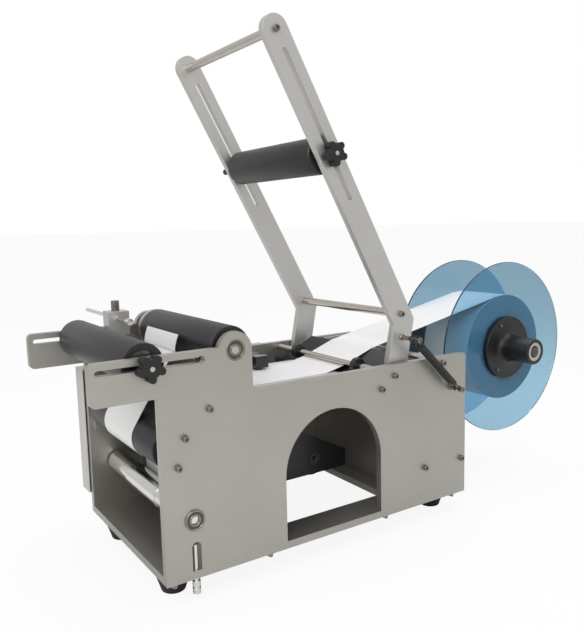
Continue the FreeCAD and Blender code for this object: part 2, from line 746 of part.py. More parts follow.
def press_arm(name, y):
    body = new_body(name)
    leg = ("arm_width / 2 * cos(leg_lean)", "-arm_width / 2 * sin(leg_lean)")
    bar = ("arm_width / 2 * cos(bar_lean)", "arm_width / 2 * sin(bar_lean)")
    outline = [
        (leg[0], leg[1]), elbow_corner("1"), (f"{TOP_DX} + {bar[0]}", f"{TOP_DZ} + {bar[1]}"),
        (f"{TOP_DX} - {bar[0]}", f"{TOP_DZ} - {bar[1]}"), elbow_corner("-1"),
        (f"-{leg[0]}", f"-({leg[1]})")]
    pad(body, polygon(body, "XZ_Plane", outline), "arm_thickness")
    pad(body, circles(body, "XZ_Plane", [("0", "0"), (TOP_DX, TOP_DZ)], "arm_width / 2"), "arm_thickness")
    cut(body, circles(body, "XZ_Plane", [("0", "0")], "pivot_radius + running_gap"))
    across = ("slot_width / 2 * cos(bar_lean)", "slot_width / 2 * sin(bar_lean)")
    low = along_bar("press_slot_low")
    high = along_bar("bar_length - press_slot_gap")
    cut(body, polygon(body, "XZ_Plane", [
        (f"{low[0]} - {across[0]}", f"{low[1]} - {across[1]}"),
        (f"{low[0]} + {across[0]}", f"{low[1]} + {across[1]}"),
        (f"{high[0]} + {across[0]}", f"{high[1]} + {across[1]}"),
        (f"{high[0]} - {across[0]}", f"{high[1]} - {across[1]}")]))
    cut(body, circles(body, "XZ_Plane", [low, high], "slot_width / 2"))
    cut(body, circles(body, "XZ_Plane", [(TOP_DX, TOP_DZ), along_bar("elbow_rod_up")],
                      "screw_radius + screw_hole_gap"))
    place(node(body, name), "pivot_x", y, "pivot_z")
    return body


near_arm = press_arm("near_press_arm", ARM_NEAR)
cut(near_arm, circles(near_arm, "XZ_Plane", [
    ("upper_stud_along * sin(leg_lean)", "upper_stud_along * cos(leg_lean)")],
                      "stud_radius + running_gap"))
press_arm("far_press_arm", ARM_FAR)
TOP_X = f"pivot_x + {TOP_DX}"
TOP_Z = f"pivot_z + {TOP_DZ}"
ELBOW_ROD_X = f"pivot_x + {along_bar('elbow_rod_up')[0]}"
ELBOW_ROD_Z = f"pivot_z + {along_bar('elbow_rod_up')[1]}"
group("arm_cross_rods", [
    bar_y("arm_rod_radius", f"{ARM_NEAR} + arm_thickness", ARM_FAR, TOP_X, TOP_Z),
    bar_y("arm_rod_radius", f"{ARM_NEAR} + arm_thickness", ARM_FAR, ELBOW_ROD_X, ELBOW_ROD_Z)])

# Arm fasteners: cap screws into the rods' ends, and the threaded stud that holds the springs.
ARM_ENDS = [(TOP_X, TOP_Z), (ELBOW_ROD_X, ELBOW_ROD_Z)]
arm_spots = [(x, ARM_NEAR, z) for x, z in ARM_ENDS]
arm_spots += [(x, f"{ARM_FAR} + arm_thickness", z) for x, z in ARM_ENDS]
arm_turns = [(Z_AXIS, 0)] * len(ARM_ENDS) + [(Z_AXIS, 180)] * len(ARM_ENDS)
UPPER_SHOULDER = "(spring_far_y + spring_radius)"
group("arm_fasteners", copies(screw, arm_spots, arm_turns) + [
    spring_stud(SPRING_TOP_X, SPRING_TOP_Z, ARM_NEAR, UPPER_SHOULDER, f"{ARM_NEAR} + arm_thickness")])

# Tension springs: two close-wound coils side by side, their lower and upper eyes on the studs.
SPRING_RUN = f"({SPRING_FOOT_X} - {SPRING_TOP_X})"
SPRING_CLIMB = f"({SPRING_TOP_Z} - spring_lower_z)"
SPRING_LENGTH = f"sqrt({SPRING_RUN} ^ 2 + {SPRING_CLIMB} ^ 2)"
SPRING_LEAN = f"-atan({SPRING_RUN} / {SPRING_CLIMB})"
coil_length = f"({SPRING_LENGTH} - 2 * spring_hook_length)"
ribs = round(number("spring_ribs"))
coil_profile = [("0", "0")]
for rib in range(ribs):
    coil_profile.append(("spring_radius - spring_wire_radius / 2", f"{coil_length} * {rib} / {ribs}"))
    coil_profile.append(("spring_radius", f"{coil_length} * ({rib} + 0.5) / {ribs}"))
coil_profile += [("spring_radius - spring_wire_radius / 2", coil_length), ("0", coil_length)]
coil = turned("spring_coil", coil_profile, "Z")
lean = (FreeCAD.Vector(0, 1, 0), number(SPRING_LEAN))
COIL_X = f"{SPRING_FOOT_X} - spring_hook_length * {SPRING_RUN} / {SPRING_LENGTH}"
COIL_Z = f"spring_lower_z + spring_hook_length * {SPRING_CLIMB} / {SPRING_LENGTH}"
group("tension_springs", copies(
    coil, [(COIL_X, y, COIL_Z) for y in ("spring_near_y", "spring_far_y")], [lean] * 2))


def spring_eye(x, y, z, inner, upwards):
    """A wire ring round the stud with a short straight shank towards the coil."""
    wire = number("spring_wire_radius")
    ring = Part.makeTorus(number(inner) + wire, wire, vector(x, y, z), FreeCAD.Vector(0, 1, 0))
    reach = number("spring_hook_length") - number(inner) - wire
    turn = FreeCAD.Rotation(*lean)
    direction = turn.multVec(FreeCAD.Vector(0, 0, 1 if upwards else -1))
    start = vector(x, y, z) + direction * (number(inner) + wire)
    return ring.fuse(Part.makeCylinder(wire, reach, start, direction))


group("lower_spring_eyes", [
    spring_eye(SPRING_FOOT_X, y, "spring_lower_z", "spring_neck_radius + soft_gap", True)
    for y in ("spring_near_y", "spring_far_y")])
group("upper_spring_eyes", [
    spring_eye(SPRING_TOP_X, y, SPRING_TOP_Z, "upper_eye_radius", False)
    for y in ("spring_near_y", "spring_far_y")])


# Label reel: two clear discs on a flanged core that turns on a fixed shaft.
def disc(name, start):
    profile = [
        ("disc_bore_radius", start), ("disc_radius", start), ("disc_radius", f"{start} + disc_thickness"),
        ("disc_bore_radius", f"{start} + disc_thickness")]
    return place(node(turned(name, profile), name), REEL_X, "0", "reel_z")


disc("front_reel_disc", DISC_NEAR)
disc("back_reel_disc", DISC_FAR)
REEL_BORE = "(reel_shaft_radius + running_gap)"
core = turned("reel_core", [
    (REEL_BORE, f"{DISC_NEAR} + disc_thickness + soft_gap"),
    ("roll_core_radius", f"{DISC_NEAR} + disc_thickness + soft_gap"), ("roll_core_radius", DISC_FAR),
    ("disc_bore_radius", DISC_FAR), ("disc_bore_radius", f"{DISC_FAR} + disc_thickness"),
    ("flange_radius", f"{DISC_FAR} + disc_thickness"),
    ("flange_radius", f"{DISC_FAR} + disc_thickness + flange_thickness"),
    (REEL_BORE, f"{DISC_FAR} + disc_thickness + flange_thickness")])
place(node(core, "reel_core"), REEL_X, "0", "reel_z")
label_roll = turned("label_roll", [
    ("roll_core_radius", WEB_NEAR), ("roll_radius", WEB_NEAR), ("roll_radius", WEB_FAR),
    ("roll_core_radius", WEB_FAR)])
place(node(label_roll, "label_roll"), REEL_X, "0", "reel_z")
FLANGE_FACE = f"({DISC_NEAR} - flange_thickness)"
hub = turned("reel_hub", [
    (REEL_BORE, f"{FLANGE_FACE} - sleeve_length"), ("sleeve_radius", f"{FLANGE_FACE} - sleeve_length"),
    ("sleeve_radius", f"{FLANGE_FACE} - sleeve_flare"), ("sleeve_radius + sleeve_flare", FLANGE_FACE),
    ("flange_radius", FLANGE_FACE),
    ("flange_radius", DISC_NEAR), ("disc_bore_radius", DISC_NEAR),
    ("disc_bore_radius", f"{DISC_NEAR} + disc_thickness"), (REEL_BORE, f"{DISC_NEAR} + disc_thickness")])
place(node(hub, "reel_hub"), REEL_X, "0", "reel_z")
SHAFT_END = f"{FLANGE_FACE} - sleeve_length + shaft_recess"
boss_start = f"{DISC_FAR} + disc_thickness + flange_thickness + soft_gap"
reel_shaft = turned("reel_shaft", [
    ("0", SHAFT_END), ("reel_shaft_radius", SHAFT_END), ("reel_shaft_radius", boss_start),
    ("bracket_boss_radius", boss_start), ("bracket_boss_radius", f"{FAR_FACE} - bracket_thickness"),
    ("reel_shaft_radius", f"{FAR_FACE} - bracket_thickness"), ("reel_shaft_radius", FAR_FACE),
    ("0", FAR_FACE)])
place(node(reel_shaft, "reel_shaft"), REEL_X, "0", "reel_z")
bracket = extruded("reel_bracket", [
    (BRACKET_START, "reel_z - bracket_height / 2"), (REEL_X, "reel_z - bracket_height / 2"),
    (REEL_X, "reel_z + bracket_height / 2"),
    (BRACKET_START, "reel_z + bracket_height / 2 - step_fillet")],
    f"{FAR_FACE} - bracket_thickness", FAR_FACE)
pad(bracket, circles(bracket, "XZ_Plane", [(REEL_X, "reel_z")], "bracket_height / 2"), "bracket_thickness")
cut(bracket, circles(bracket, "XZ_Plane", [(REEL_X, "reel_z")], "reel_shaft_radius"))
cut(bracket, circles(bracket, "XZ_Plane", [(UPPER_TIE_X, "upper_tie_z")], "tie_radius + running_gap"))


# Label stock: thin strips bent along a path, drawn as a wire and given their gauge.
def tangent_point(centre, radius, spot, side):
    """Where a line from a spot touches a circle; side is +1 or -1."""
    away = spot - centre
    turn = side * math.acos(radius / away.Length)
    angle = math.atan2(away.z, away.x) + turn
    return centre + FreeCAD.Vector(math.cos(angle), 0, math.sin(angle)) * radius


def strip(edges):
    """A strip of label stock whose middle follows the edges."""
    gauge = number("web_gauge")
    side = Part.Wire(edges).makeOffset2D(gauge / 2, 0, False, True)
    face = side.makeOffset2D(-gauge, 0, True, True)
    return face.extrude(FreeCAD.Vector(0, number("web_width"), 0))


def run(points):
    return [Part.LineSegment(a, b).toShape() for a, b in zip(points, points[1:])]


lift = number("web_gauge / 2 + soft_gap")
reel_centre = vector(REEL_X, WEB_NEAR, "reel_z")
guide_top = vector("guide_top_x", WEB_NEAR, "table_z + guide_rise * 0.74") + FreeCAD.Vector(0, 0, lift)
roll_touch = tangent_point(reel_centre, number("roll_radius") + lift, guide_top, -1)
under_rod = vector("web_rod_x", WEB_NEAR, "web_rod_z - web_rod_radius") - FreeCAD.Vector(0, 0, lift)
table_right = vector("table_right - guide_inset", WEB_NEAR, "table_z") + FreeCAD.Vector(0, 0, lift)
table_left = vector("table_left", WEB_NEAR, "table_z") + FreeCAD.Vector(lift / 2, 0, lift)
peel_edge = vector("peel_x", WEB_NEAR, "peel_z") + FreeCAD.Vector(lift, 0, lift)
peel_back = vector(f"peel_x - {PEEL_SHIFT} / 2", WEB_NEAR, "peel_z") + FreeCAD.Vector(-lift, 0, lift)
label_foot = vector(f"peel_x - {PEEL_SHIFT} / 4", WEB_NEAR, "peel_z + soft_gap")
label_head = vector("peel_x + peel_label_lean", WEB_NEAR, "peel_z + peel_label_height")
label_waist = (label_foot + label_head) * 0.5 - vector("web_gauge * 2", "0", "0")
group("label_web", [
    strip(run([roll_touch, guide_top, under_rod, table_right, table_left, peel_edge])),
    strip([Part.Arc(label_foot, label_waist, label_head).toShape()])])
traction_centre = vector("traction_x", WEB_NEAR, "traction_z")
spool_centre = vector("spool_x", WEB_NEAR, "spool_z")
wrap_radius = number("traction_radius") + lift
wound_radius = number("spool_wound_radius") + lift
touch_down = tangent_point(traction_centre, wrap_radius, peel_back, 1)
between = spool_centre - traction_centre
leave_angle = math.atan2(between.z, between.x) + math.acos((wrap_radius - wound_radius) / between.Length)
heading = FreeCAD.Vector(math.cos(leave_angle), 0, math.sin(leave_angle))
touch_off = traction_centre + heading * wrap_radius
spool_touch = spool_centre + heading * wound_radius
wrap_middle = traction_centre - FreeCAD.Vector(0, 0, wrap_radius)
liner_path = run([peel_back, touch_down])
liner_path.append(Part.Arc(touch_down, wrap_middle, touch_off).toShape())
liner_path += run([touch_off, spool_touch])
group("liner_web", [strip(liner_path)])


# Motor bracket: a black plate on the base with a sloped top.
bracket_far = "(bracket_plate_y + bracket_plate_thickness)"
outline = [
    ("bracket_plate_left", "base_thickness"), ("window_left", "base_thickness"),
    ("window_left", "bracket_plate_low"), ("bracket_plate_right", "bracket_plate_low"),
    ("bracket_plate_right", "bracket_slope_end"), ("bracket_slope_x", "bracket_plate_high"),
    ("bracket_plate_left", "bracket_plate_high")]
extruded("motor_bracket", outline, "bracket_plate_y", bracket_far)

# Gear motors behind the bracket, one bolt and washer before it; their shafts carry the pulleys.
motor = turned("motor", [
    ("0", "0"), ("motor_radius", "0"), ("motor_radius", "motor_length / 3"),
    ("motor_radius * 0.9", "motor_length / 3"), ("motor_radius * 0.9", "motor_length * 0.9"),
    ("motor_radius / 2", "motor_length * 0.9"), ("motor_radius / 2", "motor_length"), ("0", "motor_length")])
WASHER_FACE = "(bracket_plate_y - motor_washer_thickness)"
washer = bar_y("motor_washer_radius", WASHER_FACE, "bracket_plate_y", "feed_motor_x", "feed_motor_z")
bolt = bar_y("screw_head_radius", f"{WASHER_FACE} - screw_head_height", WASHER_FACE, "feed_motor_x",
             "feed_motor_z")
group("gear_motors", copies(motor, [
    ("drive_motor_x", bracket_far, "drive_motor_z"), ("feed_motor_x", bracket_far, "feed_motor_z")])
    + [washer.fuse(bolt)])
MOTOR_END = f"{bracket_far} + motor_length + soft_gap"
pulley_shaft("drive_motor_pulley", "drive_motor_x", "drive_motor_z", "motor_shaft_radius", MOTOR_END,
             "small_pulley_radius", DRIVE_BELT_Y, f"{DRIVE_BELT_Y} + pulley_width + 1")
pulley_shaft("feed_motor_pulley", "feed_motor_x", "feed_motor_z", "motor_shaft_radius", MOTOR_END,
             "small_pulley_radius", FEED_BELT_Y, f"{FEED_BELT_Y} + pulley_width + 1")


# Belts: each follows its pulleys just clear of them, round the outside.
def belt(y, wheels):
    """wheels are (x, z, radius), listed clockwise as seen from the near side."""
    def loop(extra):
        rings = [(vector(x, y, z), number(radius) + extra) for x, z, radius in wheels]
        corners = []
        for index, (centre, radius) in enumerate(rings):
            following, next_radius = rings[(index + 1) % len(rings)]
            run_line = following - centre
            angle = math.atan2(run_line.z, run_line.x) + math.acos((radius - next_radius) / run_line.Length)
            heading = FreeCAD.Vector(math.cos(angle), 0, math.sin(angle))
            corners.append((centre + heading * radius, following + heading * next_radius))
        edges = []
        for index, (centre, radius) in enumerate(rings):
            arrive = corners[index - 1][1]
            leave = corners[index][0]
            bend = (arrive + leave) * 0.5 - centre
            reach = sum((ring[0] for ring in rings), FreeCAD.Vector()) * (1 / len(rings))
            outside = bend if bend.dot(centre - reach) > 0 else bend * -1
            edges.append(Part.Arc(arrive, centre + outside.normalize() * radius, leave).toShape())
            edges.append(Part.LineSegment(*corners[index]).toShape())
        return Part.Face(Part.Wire(edges))
    ring = loop(number("soft_gap + belt_thickness")).cut(loop(number("soft_gap")))
    return ring.extrude(FreeCAD.Vector(0, number("pulley_width"), 0))


group("timing_belts", [
    belt(DRIVE_BELT_Y, [("drive_motor_x", "drive_motor_z", "small_pulley_radius"),
                          ("drive_x", "drive_z", "drive_pulley_radius")]),
    belt(FEED_BELT_Y, [("traction_x", "traction_z", "traction_pulley_radius"),
                         ("feed_motor_x", "feed_motor_z", "small_pulley_radius"),
                         ("spool_x", "spool_z", "spool_pulley_radius")])])

# Drive cover: a shallow box over the feed belt on the far plate.
cover = new_body("drive_cover")
pad(cover, polygon(cover, "XZ_Plane", [
    ("cover_left", "cover_bottom"), ("cover_right", "cover_bottom"), ("cover_right", "cover_top"),
    ("cover_left", "cover_top")]), "cover_depth")
hollow = cut(cover, polygon(cover, "XZ_Plane", [
    ("cover_left + cover_wall", "cover_bottom + cover_wall"),
    ("cover_right - cover_wall", "cover_bottom + cover_wall"),
    ("cover_right - cover_wall", "cover_top - cover_wall"),
    ("cover_left + cover_wall", "cover_top - cover_wall")]))
hollow.Midplane = False
hollow.Type = "Length"
hollow.setExpression("Length", bound("cover_depth - cover_wall"))
doc.recompute()
place(node(cover, "drive_cover"), "0", "body_width", "0")

# Control panel on the cover, with a bore for the button and a window for the switch.
panel_face = "(body_width + cover_depth)"
panel = extruded("control_panel", [
    ("panel_left", "panel_bottom"), ("panel_right", "panel_bottom"), ("panel_right", "panel_top"),
    ("panel_left", "panel_top")], panel_face, f"{panel_face} + panel_thickness")
cut(panel, circles(panel, "XZ_Plane", [("button_x", "control_z")], "button_radius + button_gap"))
cut(panel, polygon(panel, "XZ_Plane", [
    ("switch_x - switch_width / 2 - soft_gap", "control_z - switch_height / 2 - switch_gap"),
    ("switch_x + switch_width / 2 + soft_gap", "control_z - switch_height / 2 - switch_gap"),
    ("switch_x + switch_width / 2 + soft_gap", "control_z + switch_height / 2 + switch_gap"),
    ("switch_x - switch_width / 2 - soft_gap", "control_z + switch_height / 2 + switch_gap")]))
pin = circles(panel, "YZ_Plane", [("rocker_pin_depth", "control_z")], "rocker_pin_radius")
pin.AttachmentOffset = FreeCAD.Placement(vector("0", "0", "switch_x - switch_width"), FreeCAD.Rotation())
pin.setExpression("AttachmentOffset.Base.z", bound("switch_x - switch_width"))
pad(panel, pin, "switch_width * 2")
button = turned("start_button", [
    ("0", "panel_thickness / 2"), ("button_radius", "panel_thickness / 2"),
    ("button_radius", "panel_thickness * 1.5"), ("0", "panel_thickness * 1.5")])
place(node(button, "start_button"), "button_x", panel_face, "control_z")
rocker = new_body("power_switch")
pad(rocker, polygon(rocker, "YZ_Plane", [
    ("panel_thickness / 2", "-switch_height / 2"), ("panel_thickness * 1.4", "-switch_height / 2"),
    ("panel_thickness", "0"), ("panel_thickness * 1.4", "switch_height / 2"),
    ("panel_thickness / 2", "switch_height / 2")]), "switch_width")
cut(rocker, circles(rocker, "YZ_Plane", [("rocker_pin_depth", "0")], "rocker_pin_radius + running_gap"))
place(node(rocker, "power_switch"), "switch_x - switch_width / 2", panel_face, "control_z")


# Sockets low on the far plate: a power inlet with three blades and a round socket for a pedal.
def far_block(x, z, width, height, start, end):
    return block((f"{x} - {width} / 2", start, f"{z} - {height} / 2"),
                 (f"{x} + {width} / 2", end, f"{z} + {height} / 2"))


INLET_END = "(body_width + inlet_depth)"
inlet = far_block("inlet_x", "inlet_z", "inlet_width", "inlet_height", "body_width", INLET_END)
inlet = inlet.cut(far_block("inlet_x", "inlet_z", "(inlet_width - 2 * inlet_wall)",
                            "(inlet_height - 2 * inlet_wall)", "body_width + inlet_wall", INLET_END))
for offset in ("-inlet_width / 4", "0", "inlet_width / 4"):
    blade = far_block(f"(inlet_x + {offset})", "inlet_z", "inlet_wall", "(inlet_wall * 2)",
                      "body_width + inlet_wall", f"{INLET_END} - inlet_wall")
    inlet = inlet.fuse(blade)
jack = bar_y("jack_radius", "body_width", f"{INLET_END} - inlet_wall", "jack_x", "inlet_z").cut(
    bar_y("jack_bore", "body_width + inlet_wall", INLET_END, "jack_x", "inlet_z"))
group("cable_sockets", [inlet, jack])

# Bottle stop: a block over the far wing's edge, a rod through it and a thumbscrew on top.
saddle = new_body("stop_block")
pad(saddle, polygon(saddle, "YZ_Plane", [
    ("-plate_thickness", "stop_block_low"), ("0", "stop_block_low"), ("0", "wing_top"),
    ("plate_thickness", "wing_top"), ("plate_thickness", "stop_block_low"),
    ("plate_thickness * 1.6", "stop_block_low"), ("plate_thickness * 1.6", "stop_block_high"),
    ("-plate_thickness", "stop_block_high")]), "stop_block_width")
cut(saddle, circles(saddle, "XZ_Plane", [("stop_block_width / 2", "stop_rod_z")],
                    "stop_rod_radius + running_gap"))
cut(saddle, circles(saddle, "XY_Plane", [("stop_block_width / 2", "plate_thickness / 2")],
                    "screw_radius + running_gap"))
place(node(saddle, "stop_block"), "stop_x - stop_block_width / 2", FAR_FACE, "0")
rod = turned("stop_rod", [
    ("0", "stop_rod_near"), ("stop_tip_radius", "stop_rod_near"),
    ("stop_tip_radius", "stop_rod_near + stop_tip_length"),
    ("stop_rod_radius", "stop_rod_near + stop_tip_length"), ("stop_rod_radius", "stop_rod_far"),
    ("0", "stop_rod_far")])
place(node(rod, "stop_rod"), "stop_x", "0", "stop_rod_z")
THUMB_END = "stop_rod_z + stop_rod_radius + soft_gap"
thumb = turned("stop_thumbscrew", [
    ("0", THUMB_END), ("screw_radius", THUMB_END),
    ("screw_radius", "stop_block_high + soft_gap"), ("thumb_radius", "stop_block_high + soft_gap"),
    ("thumb_radius", "stop_block_high + thumb_height"), ("0", "stop_block_high + thumb_height")], "Z")
place(node(thumb, "stop_thumbscrew"), "stop_x", "body_width - plate_thickness / 2", "0")

# Label sensor: a hooked head on the table that reaches over the edge of the web.
sensor = new_body("label_sensor")
sensor_top = "table_z + sensor_height"
pad(sensor, polygon(sensor, "YZ_Plane", [
    ("table_far - sensor_foot", "table_z"), ("table_far", "table_z"), ("table_far", sensor_top),
    ("table_far - sensor_foot", sensor_top),
    ("table_far - sensor_width / 2", f"{sensor_top} - sensor_groove"),
    ("table_far - sensor_width + sensor_foot", sensor_top), ("table_far - sensor_width", sensor_top),
    ("table_far - sensor_width", "table_z + sensor_mouth"),
    ("table_far - sensor_foot", "table_z + sensor_mouth")]), "sensor_length")
place(node(sensor, "label_sensor"), "sensor_x", "0", "0")

# Sprung plunger in the near plate's notch, with its grooved knob under the base.
plunger = turned("release_plunger", [
    ("0", "-plunger_drop"), ("plunger_knob_radius", "-plunger_drop"),
    ("plunger_knob_radius", "-plunger_drop + knob_groove_low"),
    ("plunger_knob_radius * 0.8", "-plunger_drop + knob_groove_low"),
    ("plunger_knob_radius * 0.8", "-plunger_drop + knob_groove_low * 1.3"),
    ("plunger_knob_radius", "-plunger_drop + knob_groove_low * 1.3"),
    ("plunger_knob_radius", "-plunger_gap"), ("plunger_radius", "-plunger_gap"),
    ("plunger_radius", "notch_top - plunger_gap"), ("0", "notch_top - plunger_gap")], "Z")
place(node(plunger, "release_plunger"), "plunger_x", "plunger_y", "0")


# Guide collars that keep the web in line on its rod.
def collar(name, y):
    body = turned(name, [
        ("web_rod_radius + running_gap", "0"), ("collar_radius", "0"), ("collar_radius", "collar_width"),
        ("web_rod_radius + running_gap", "collar_width")])
    place(node(body, name), "web_rod_x", y, "web_rod_z")


collar("near_web_collar", "near_collar_y")
collar("far_web_collar", "far_collar_y")

# Everything is worked out once more, looked over, and written to one file for each piece.
doc.recompute()
for item in doc.Objects:
    if "Invalid" in item.State or "Error" in item.State:
        raise RuntimeError(f"{item.Name} did not compute: {item.State}")
os.makedirs("parts", exist_ok=True)
for item in nodes:
    if item.Shape.isNull() or not item.Shape.isValid():
        raise RuntimeError(f"{item.Label} has no valid shape")
    item.Shape.exportStep(f"parts/{item.Label}.step")
print(f"{len(nodes)} sub-parts written")
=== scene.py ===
import json
import math

import bmesh
import bpy
from mathutils import Matrix, Vector

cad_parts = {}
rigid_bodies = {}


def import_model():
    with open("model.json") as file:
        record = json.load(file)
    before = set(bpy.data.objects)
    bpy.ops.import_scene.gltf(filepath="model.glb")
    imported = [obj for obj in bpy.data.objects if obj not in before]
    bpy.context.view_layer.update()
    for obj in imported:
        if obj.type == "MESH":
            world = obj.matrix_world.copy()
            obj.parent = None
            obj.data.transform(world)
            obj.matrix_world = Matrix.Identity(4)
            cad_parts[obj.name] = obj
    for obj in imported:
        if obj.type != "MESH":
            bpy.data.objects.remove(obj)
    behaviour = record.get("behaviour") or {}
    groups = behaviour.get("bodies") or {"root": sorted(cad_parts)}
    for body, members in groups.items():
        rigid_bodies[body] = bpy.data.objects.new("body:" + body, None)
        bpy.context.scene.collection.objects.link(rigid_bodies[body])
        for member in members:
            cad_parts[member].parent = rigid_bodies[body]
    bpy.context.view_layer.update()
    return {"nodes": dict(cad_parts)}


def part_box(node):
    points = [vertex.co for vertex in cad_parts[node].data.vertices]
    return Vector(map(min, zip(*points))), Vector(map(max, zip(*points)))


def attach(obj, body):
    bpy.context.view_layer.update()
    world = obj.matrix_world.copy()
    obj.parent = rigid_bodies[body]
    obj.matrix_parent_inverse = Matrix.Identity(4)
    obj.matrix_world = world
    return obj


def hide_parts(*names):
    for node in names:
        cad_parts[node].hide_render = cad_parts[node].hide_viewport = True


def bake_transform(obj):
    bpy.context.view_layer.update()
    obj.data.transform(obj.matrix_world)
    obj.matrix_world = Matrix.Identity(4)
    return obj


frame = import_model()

# The view: a little above the bed of the machine, from in front of its left end, with the near
# side plate running away to the right. Lengths are measured from the base plate's near corner.
CORNER = Vector(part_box("base_plate")[0])


def at(x, y, z):
    """A place on the machine, in millimetres from the near left corner of the base plate."""
    return CORNER + Vector((x, y, z)) / 1000


yaw, pitch, roll = math.radians(33.43), math.radians(7.65), math.radians(-1.356)
look = Vector((math.sin(yaw) * math.cos(pitch), math.cos(yaw) * math.cos(pitch), -math.sin(pitch)))
level = Vector((math.cos(yaw), -math.sin(yaw), 0))
upright = level.cross(look)
view_right = level * math.cos(roll) + upright * math.sin(roll)
view_up = upright * math.cos(roll) - level * math.sin(roll)
lens = bpy.data.cameras.new("camera")
lens.sensor_fit = "HORIZONTAL"
lens.sensor_width = 36
lens.lens = 42.51
camera = bpy.data.objects.new("camera", lens)
turn = Matrix((view_right, view_up, -look)).transposed().to_4x4()
stand = at(-290.1, -718.5, 421.1)
camera.matrix_world = Matrix.Translation(stand) @ turn
bpy.context.collection.objects.link(camera)
bpy.context.scene.camera = camera

# The studio: a seamless pale floor, a white surround that is dimmer as a light than as a
# background, and two large soft lamps.
scene = bpy.context.scene
scene.view_settings.view_transform = "Standard"
surround = bpy.data.worlds.new("surround")
scene.world = surround
surround.use_nodes = True
tree = surround.node_tree
tree.nodes.clear()
output = tree.nodes.new("ShaderNodeOutputWorld")
seen = tree.nodes.new("ShaderNodeLightPath")
either = tree.nodes.new("ShaderNodeMath")
either.operation = "MAXIMUM"
tree.links.new(seen.outputs["Is Camera Ray"], either.inputs[0])
tree.links.new(seen.outputs["Is Transmission Ray"], either.inputs[1])
mix = tree.nodes.new("ShaderNodeMixShader")
lighting = tree.nodes.new("ShaderNodeBackground")
WHITE = (1, 1, 1, 1)
lighting.inputs["Color"].default_value = WHITE
lighting.inputs["Strength"].default_value = 0.72
backdrop = tree.nodes.new("ShaderNodeBackground")
backdrop.inputs["Color"].default_value = WHITE
backdrop.inputs["Strength"].default_value = 1.0
tree.links.new(either.outputs[0], mix.inputs[0])
tree.links.new(lighting.outputs[0], mix.inputs[1])
tree.links.new(backdrop.outputs[0], mix.inputs[2])
tree.links.new(mix.outputs[0], output.inputs["Surface"])

HALF_FLOOR = 60.0
FLOOR_GLOW = 0.9
floor_mesh = bpy.data.meshes.new("floor")
floor_mesh.from_pydata(
    [(-HALF_FLOOR, -HALF_FLOOR, 0), (HALF_FLOOR, -HALF_FLOOR, 0), (HALF_FLOOR, HALF_FLOOR, 0),
     (-HALF_FLOOR, HALF_FLOOR, 0)], [], [(0, 1, 2, 3)])
floor = bpy.data.objects.new("floor", floor_mesh)
bpy.context.collection.objects.link(floor)
paper = bpy.data.materials.new("floor_paper")
paper.use_nodes = True
tree = paper.node_tree
matt = tree.nodes["Principled BSDF"]
matt.inputs["Base Color"].default_value = (0.82, 0.82, 0.82, 1)
matt.inputs["Roughness"].default_value = 0.95
glow = tree.nodes.new("ShaderNodeEmission")
seen = tree.nodes.new("ShaderNodeLightPath")
share = tree.nodes.new("ShaderNodeMath")
share.operation = "MULTIPLY"
share.inputs[1].default_value = FLOOR_GLOW
tree.links.new(seen.outputs["Is Camera Ray"], share.inputs[0])
mix = tree.nodes.new("ShaderNodeMixShader")
tree.links.new(share.outputs[0], mix.inputs[0])
tree.links.new(matt.outputs[0], mix.inputs[1])
tree.links.new(glow.outputs[0], mix.inputs[2])
tree.links.new(mix.outputs[0], tree.nodes["Material Output"].inputs["Surface"])
floor_mesh.materials.append(paper)


def lamp(name, place, target, size, power):
    """A square soft lamp facing a point."""
    light = bpy.data.lights.new(name, "AREA")
    light.shape = "SQUARE"
    light.size = size
    light.energy = power
    piece = bpy.data.objects.new(name, light)
    piece.location = place
    piece.rotation_euler = (target - place).to_track_quat("-Z", "Y").to_euler()
    bpy.context.collection.objects.link(piece)


lamp("left_softbox", at(-900, -900, 1300), at(200, 100, 200), 1.2, 16)
lamp("top_softbox", at(700, 300, 1700), at(250, 139, 100), 1.4, 12)

# Base plate: a 10 mm plate of bead-blasted aluminium, milled round with a window in its middle.
# Its edges are broken by hand, so they catch the light as a thin bright line.


GLOSS_SPREAD = 0.08
RELIEF_DEPTH = 0.0004


